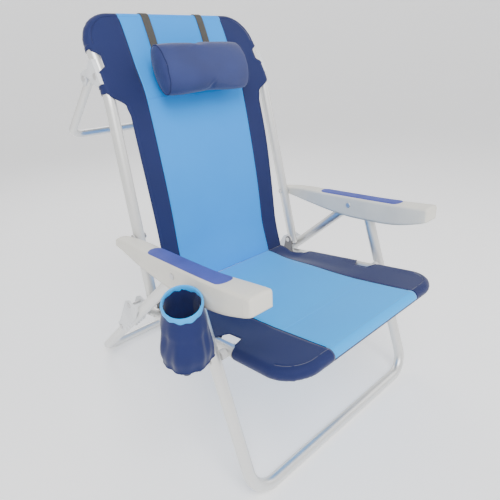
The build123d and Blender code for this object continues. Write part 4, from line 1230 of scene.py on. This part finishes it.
    def build(self) -> None:
        """Makes the shell, its mould line and the inlay."""
        word = self.side.word
        skin = self.shell()
        pads = self.inlay()
        line_y = -0.018
        row = int(np.argmin(np.abs(skin.points[:, 20, 1] - line_y)))
        path = skin.points[row]
        centre = np.array([(self.inner + self.outer) / 2, line_y, 0.452])
        up = path - centre
        up[:, 1] = 0.0
        line = swept(path, up, 0.0006, 0.00035, 6)
        if self.side is Side.LEFT:
            skin, pads, line = skin.mirrored(), [p.mirrored() for p in pads], line.mirrored()
        shell = piece(f"armrest_skin_{word}", [skin], (0.0, 0.0, 1.0))
        thicken(shell, self.wall)
        pad = piece(f"armrest_pad_{word}", pads, sharp=50.0)
        mark = piece(f"armrest_mould_line_{word}", [line])
        self.finishes.dress(shell, "armrest_plastic")
        self.finishes.dress(mark, "armrest_plastic")
        self.finishes.dress(pad, "inlay_blue")
        for made in (shell, pad, mark):
            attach(made, "armrests")
        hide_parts(f"armrest_shell_{word}")
        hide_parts(f"armrest_inlay_{word}")
        LOG.info("armrest %s: %d faces", word, len(shell.data.polygons))


# ------------------------------------------------------------------ cup holder
@dataclass
class CupHolder:
    """The fabric cup holder on the left armrest: a wired rim, a folded binding and a slack pouch."""

    finishes: Finishes
    rim_radius: float = 0.0345
    wire: float = 0.0019
    tilt: float = 0.36
    tilt_from: float = math.radians(53.0)
    rim_height: float = 0.4375
    floor: float = 0.320
    ahead: float = 0.013
    under_rim: float = 0.004
    foot_share: float = 0.93

    def __post_init__(self) -> None:
        """Takes the pouch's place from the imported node."""
        low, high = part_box("cup_pouch")
        self.centre = (high.x - self.rim_radius - 0.0012, (low.y + high.y) / 2 - self.ahead)

    def ring(self, angle: np.ndarray, radius: np.ndarray, height: np.ndarray) -> np.ndarray:
        """Points round the pouch, with the mouth's tilt towards the outside shared by height."""
        lean = self.tilt * smooth((height - 0.34) / (self.rim_height - 0.34))
        x = self.centre[0] + radius * np.cos(angle)
        y = self.centre[1] + radius * np.sin(angle)
        return np.stack([x, y, height + lean * radius * np.cos(angle - self.tilt_from)], axis=-1)

    def level(self, t: np.ndarray) -> np.ndarray:
        """The height at a share of the pouch's depth, before the mouth's tilt."""
        top = self.rim_height - self.under_rim
        return top + (self.floor - top) * t

    def reach(self, a: np.ndarray, t: np.ndarray) -> np.ndarray:
        """The pouch's radius at an angle and a share of its depth, flat where the armrest is."""
        slump = eased(t, [(0.0, 0.0), (0.35, 0.006), (0.76, 0.0125), (0.92, 0.0105), (1.0, 0.003)])
        waves = (0.0022 * np.sin(3.0 * a + 0.6 + 1.5 * t) + 0.0014 * np.sin(7.0 * a + 2.0 - 2.2 * t)
                 + 0.0008 * np.sin(13.0 * a + 5.0 * t))
        radius = self.rim_radius + slump + waves * smooth(t * 1.6)
        near = smooth((np.cos(a) - 0.45) / 0.3)
        return radius - np.clip(radius * np.cos(a) - self.rim_radius, 0.0, None) * near

    def pouch(self) -> List[Patch]:
        """The pouch: radius by height, with folds that grow downwards, then a gathered floor."""
        a = np.linspace(0.0, 2.0 * math.pi, 145)[None, :]
        t = np.linspace(0.0, 1.0, 60)[:, None]
        height = self.level(t)
        radius = self.reach(a, t)
        side = self.ring(np.broadcast_to(a, radius.shape), radius, np.broadcast_to(height, radius.shape))
        length = np.stack(np.broadcast_arrays(a * self.rim_radius, height), axis=-1)
        r = np.linspace(1.0, 0.0, 14)[:, None]
        last = radius[-1][None, :] * r
        sink = self.floor - 0.004 * (1.0 - r ** 2) + 0.0008 * np.sin(9.0 * a) * r
        base = self.ring(np.broadcast_to(a, last.shape), last, np.broadcast_to(sink, last.shape))
        base_map = np.stack([last * np.cos(a), last * np.sin(a)], axis=-1)
        return [Patch(side, length), Patch(base, base_map)]

    def build(self) -> None:
        """Makes the binding round its wire, the pouch and its seam."""
        a = np.linspace(0.0, 2.0 * math.pi, 97)
        rim = self.ring(a, np.full(97, self.rim_radius), np.full(97, self.rim_height))
        section = np.linspace(0.0, 2.0 * math.pi, 19)
        out = np.stack([np.cos(a), np.sin(a), np.zeros(97)], axis=-1)
        fold = np.sin(a * 31.0) * 0.25 + np.sin(a * 17.0 + 1.0) * 0.3 + np.sin(a * 5.0) * 0.3
        wide = self.wire + 0.0008 * fold
        deep = 0.0085 + 0.0012 * np.sin(a * 11.0 + 2.0) + 0.001 * np.sin(a * 3.0)
        drop = np.where(np.sin(section) < 0.0, deep[:, None], self.wire + 0.0006)
        points = (rim[:, None, :] + (wide[:, None] * np.cos(section)[None, :])[..., None] * out[:, None, :]
                  + (drop * np.sin(section)[None, :])[..., None] * np.array([0.0, 0.0, 1.0]))
        cloth = np.stack(np.broadcast_arrays(section[None, :] * 0.004, a[:, None] * self.rim_radius), axis=-1)
        binding = piece("cup_binding", [Patch(points, cloth)])
        self.finishes.dress(binding, "cyan_fabric")
        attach(binding, "armrests")
        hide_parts("cup_rim")
        pouch = piece("cup_pouch_cloth", self.pouch())
        thicken(pouch, 0.0011)
        self.finishes.dress(pouch, "navy_fabric")
        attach(pouch, "armrests")
        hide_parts("cup_pouch")
        low = np.full(97, self.foot_share)
        seam = self.ring(a, self.reach(a, low), self.level(low))
        up = np.broadcast_to([0.0, 0.0, 1.0], seam.shape)
        foot = piece("cup_foot_seam", [swept(seam, up, 0.0013, 0.0013, 8)])
        self.finishes.dress(foot, "navy_fabric")
        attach(foot, "armrests")
        LOG.info("cup holder: %d faces", len(pouch.data.polygons))


# ------------------------------------------------------------------ mouldings and metal from the frame
@dataclass(frozen=True)
class Softened:
    """A CAD node shown as a copy whose edges are rounded."""

    node: str
    body: str
    slot: str
    radius: float
    segments: int = 2
    sharp: float = math.radians(35.0)

    def build(self, finishes: Finishes) -> None:
        """Merges a copy of the node's loose triangles and rounds its sharp edges."""
        source = frame["nodes"][self.node]
        mesh = source.data.copy()
        work = bmesh.new()
        work.from_mesh(mesh)
        bmesh.ops.remove_doubles(work, verts=work.verts, dist=1e-6)
        bmesh.ops.dissolve_limit(work, angle_limit=math.radians(1.0), verts=work.verts, edges=work.edges)
        work.to_mesh(mesh)
        work.free()
        mesh.polygons.foreach_set("use_smooth", np.ones(len(mesh.polygons), bool))
        mesh.set_sharp_from_angle(angle=self.sharp)
        made = bpy.data.objects.new(f"{self.node}_rounded", mesh)
        bpy.context.scene.collection.objects.link(made)
        bevel = made.modifiers.new("Rounded edges", "BEVEL")
        bevel.width = self.radius
        bevel.segments = self.segments
        bevel.limit_method = "ANGLE"
        bevel.angle_limit = self.sharp
        bevel.use_clamp_overlap = True
        finishes.dress(made, self.slot)
        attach(made, self.body)
        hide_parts(self.node)


# ------------------------------------------------------------------ studio
@dataclass
class Studio:
    """A pale floor that turns up behind, soft lights and the camera."""

    floor_reach: float = 6.0
    floor_curve: float = 2.0
    wall_top: float = 9.0
    camera_place: Tuple[float, float, float] = (-0.6576, -0.4526, 0.8083)
    yaw: float = math.radians(41.413)
    pitch: float = math.radians(23.984)
    roll: float = math.radians(-2.823)
    lens: float = 31.463

    def floor(self) -> None:
        """The floor and its back wall: one surface, flat and then a quarter turn up, on every side."""
        a = np.linspace(0.0, 2.0 * math.pi, 97)
        turn = np.linspace(0.0, math.pi / 2, 14)
        curve = self.floor_reach + self.floor_curve * np.sin(turn)[1:]
        flat = np.linspace(0.0, self.floor_reach, 12)
        reach = np.concatenate([flat, curve, [self.floor_reach + self.floor_curve]])
        rise = np.concatenate([np.zeros(12), self.floor_curve * (1.0 - np.cos(turn))[1:], [self.wall_top]])
        x = reach[:, None] * np.cos(a)[None, :]
        y = reach[:, None] * np.sin(a)[None, :] + 0.3
        z = np.broadcast_to(rise[:, None], x.shape)
        made = piece("studio_floor", [Patch(np.stack([x, y, z], axis=-1))], (0.0, 0.0, 1.0))
        material, n, shader = new_material("Studio paper")
        place = n.add("ShaderNodeTexCoord").outputs["Object"]
        noise = n.add("ShaderNodeTexNoise", {"Vector": place, "Scale": 3.0, "Detail": 3.0}).outputs[0]
        colour = n.mix(noise, linear((0.985, 0.985, 0.985)), linear((0.97, 0.97, 0.975)))
        n.tree.links.new(colour, shader.inputs["Base Color"])
        shader.inputs["Roughness"].default_value = 0.9
        shader.inputs["Specular IOR Level"].default_value = 0.1
        shader.inputs["Emission Color"].default_value = (1.0, 1.0, 1.0, 1.0)
        shader.inputs["Emission Strength"].default_value = 0.3
        made.data.materials.append(material)

    @staticmethod
    def lamp(name: str, place: Tuple[float, float, float], target: Tuple[float, float, float],
             size: float, watts: float) -> None:
        """One square soft light."""
        data = bpy.data.lights.new(name, "AREA")
        data.size = size
        data.energy = watts
        lamp = bpy.data.objects.new(name, data)
        lamp.location = place
        lamp.rotation_euler = (Vector(target) - Vector(place)).to_track_quat("-Z", "Y").to_euler()
        bpy.context.scene.collection.objects.link(lamp)

    def camera(self) -> None:
        """The camera: turned by yaw, pitched down, and rolled a little."""
        level = math.cos(self.pitch)
        look = Vector((math.sin(self.yaw) * level, math.cos(self.yaw) * level, -math.sin(self.pitch)))
        right0 = look.cross(Vector((0.0, 0.0, 1.0))).normalized()
        up0 = right0.cross(look)
        c, s = math.cos(self.roll), math.sin(self.roll)
        right, up = c * right0 + s * up0, c * up0 - s * right0
        data = bpy.data.cameras.new("Camera")
        data.lens = self.lens
        data.sensor_width = 36.0
        camera = bpy.data.objects.new("Camera", data)
        turn = Matrix((right, up, -look)).transposed().to_4x4()
        camera.matrix_world = Matrix.Translation(self.camera_place) @ turn
        bpy.context.scene.collection.objects.link(camera)
        bpy.context.scene.camera = camera

    def build(self) -> None:
        """Sets up the whole studio."""
        self.camera()
        self.floor()
        self.lamp("Key light", (-0.9, -1.3, 2.5), (0.0, 0.25, 0.4), 1.6, 74.0)
        self.lamp("Fill light", (1.9, -0.9, 1.7), (0.0, 0.2, 0.4), 1.6, 12.0)
        self.lamp("Back light", (0.6, 2.3, 2.1), (0.0, 0.3, 0.5), 1.4, 22.0)
        world = bpy.data.worlds.new("Studio air")
        world.use_nodes = True
        world.node_tree.nodes["Background"].inputs[0].default_value = (1.0, 1.0, 1.0, 1.0)
        world.node_tree.nodes["Background"].inputs[1].default_value = 0.5
        bpy.context.scene.world = world


def main() -> None:
    """Builds the chair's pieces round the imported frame, in order."""
    logging.basicConfig(level=logging.INFO, format="%(name)s %(message)s")
    finishes = Finishes()
    finishes.dress_nodes()
    Studio().build()
    back = BackSling(finishes)
    back.build()
    SeatSling(finishes).build()
    Pillow(finishes, back).build()
    Elastics(finishes, back).build()
    for side in Side:
        Armrest(finishes, side).build()
    CupHolder(finishes).build()
    for side in Side:
        Softened(f"rack_{side.word}", "rear_leg", "white_plastic", 0.0009).build(finishes)
        Softened(f"towel_bracket_{side.word}", "back", "white_plastic", 0.0009).build(finishes)


if __name__ == "__main__":
    main()
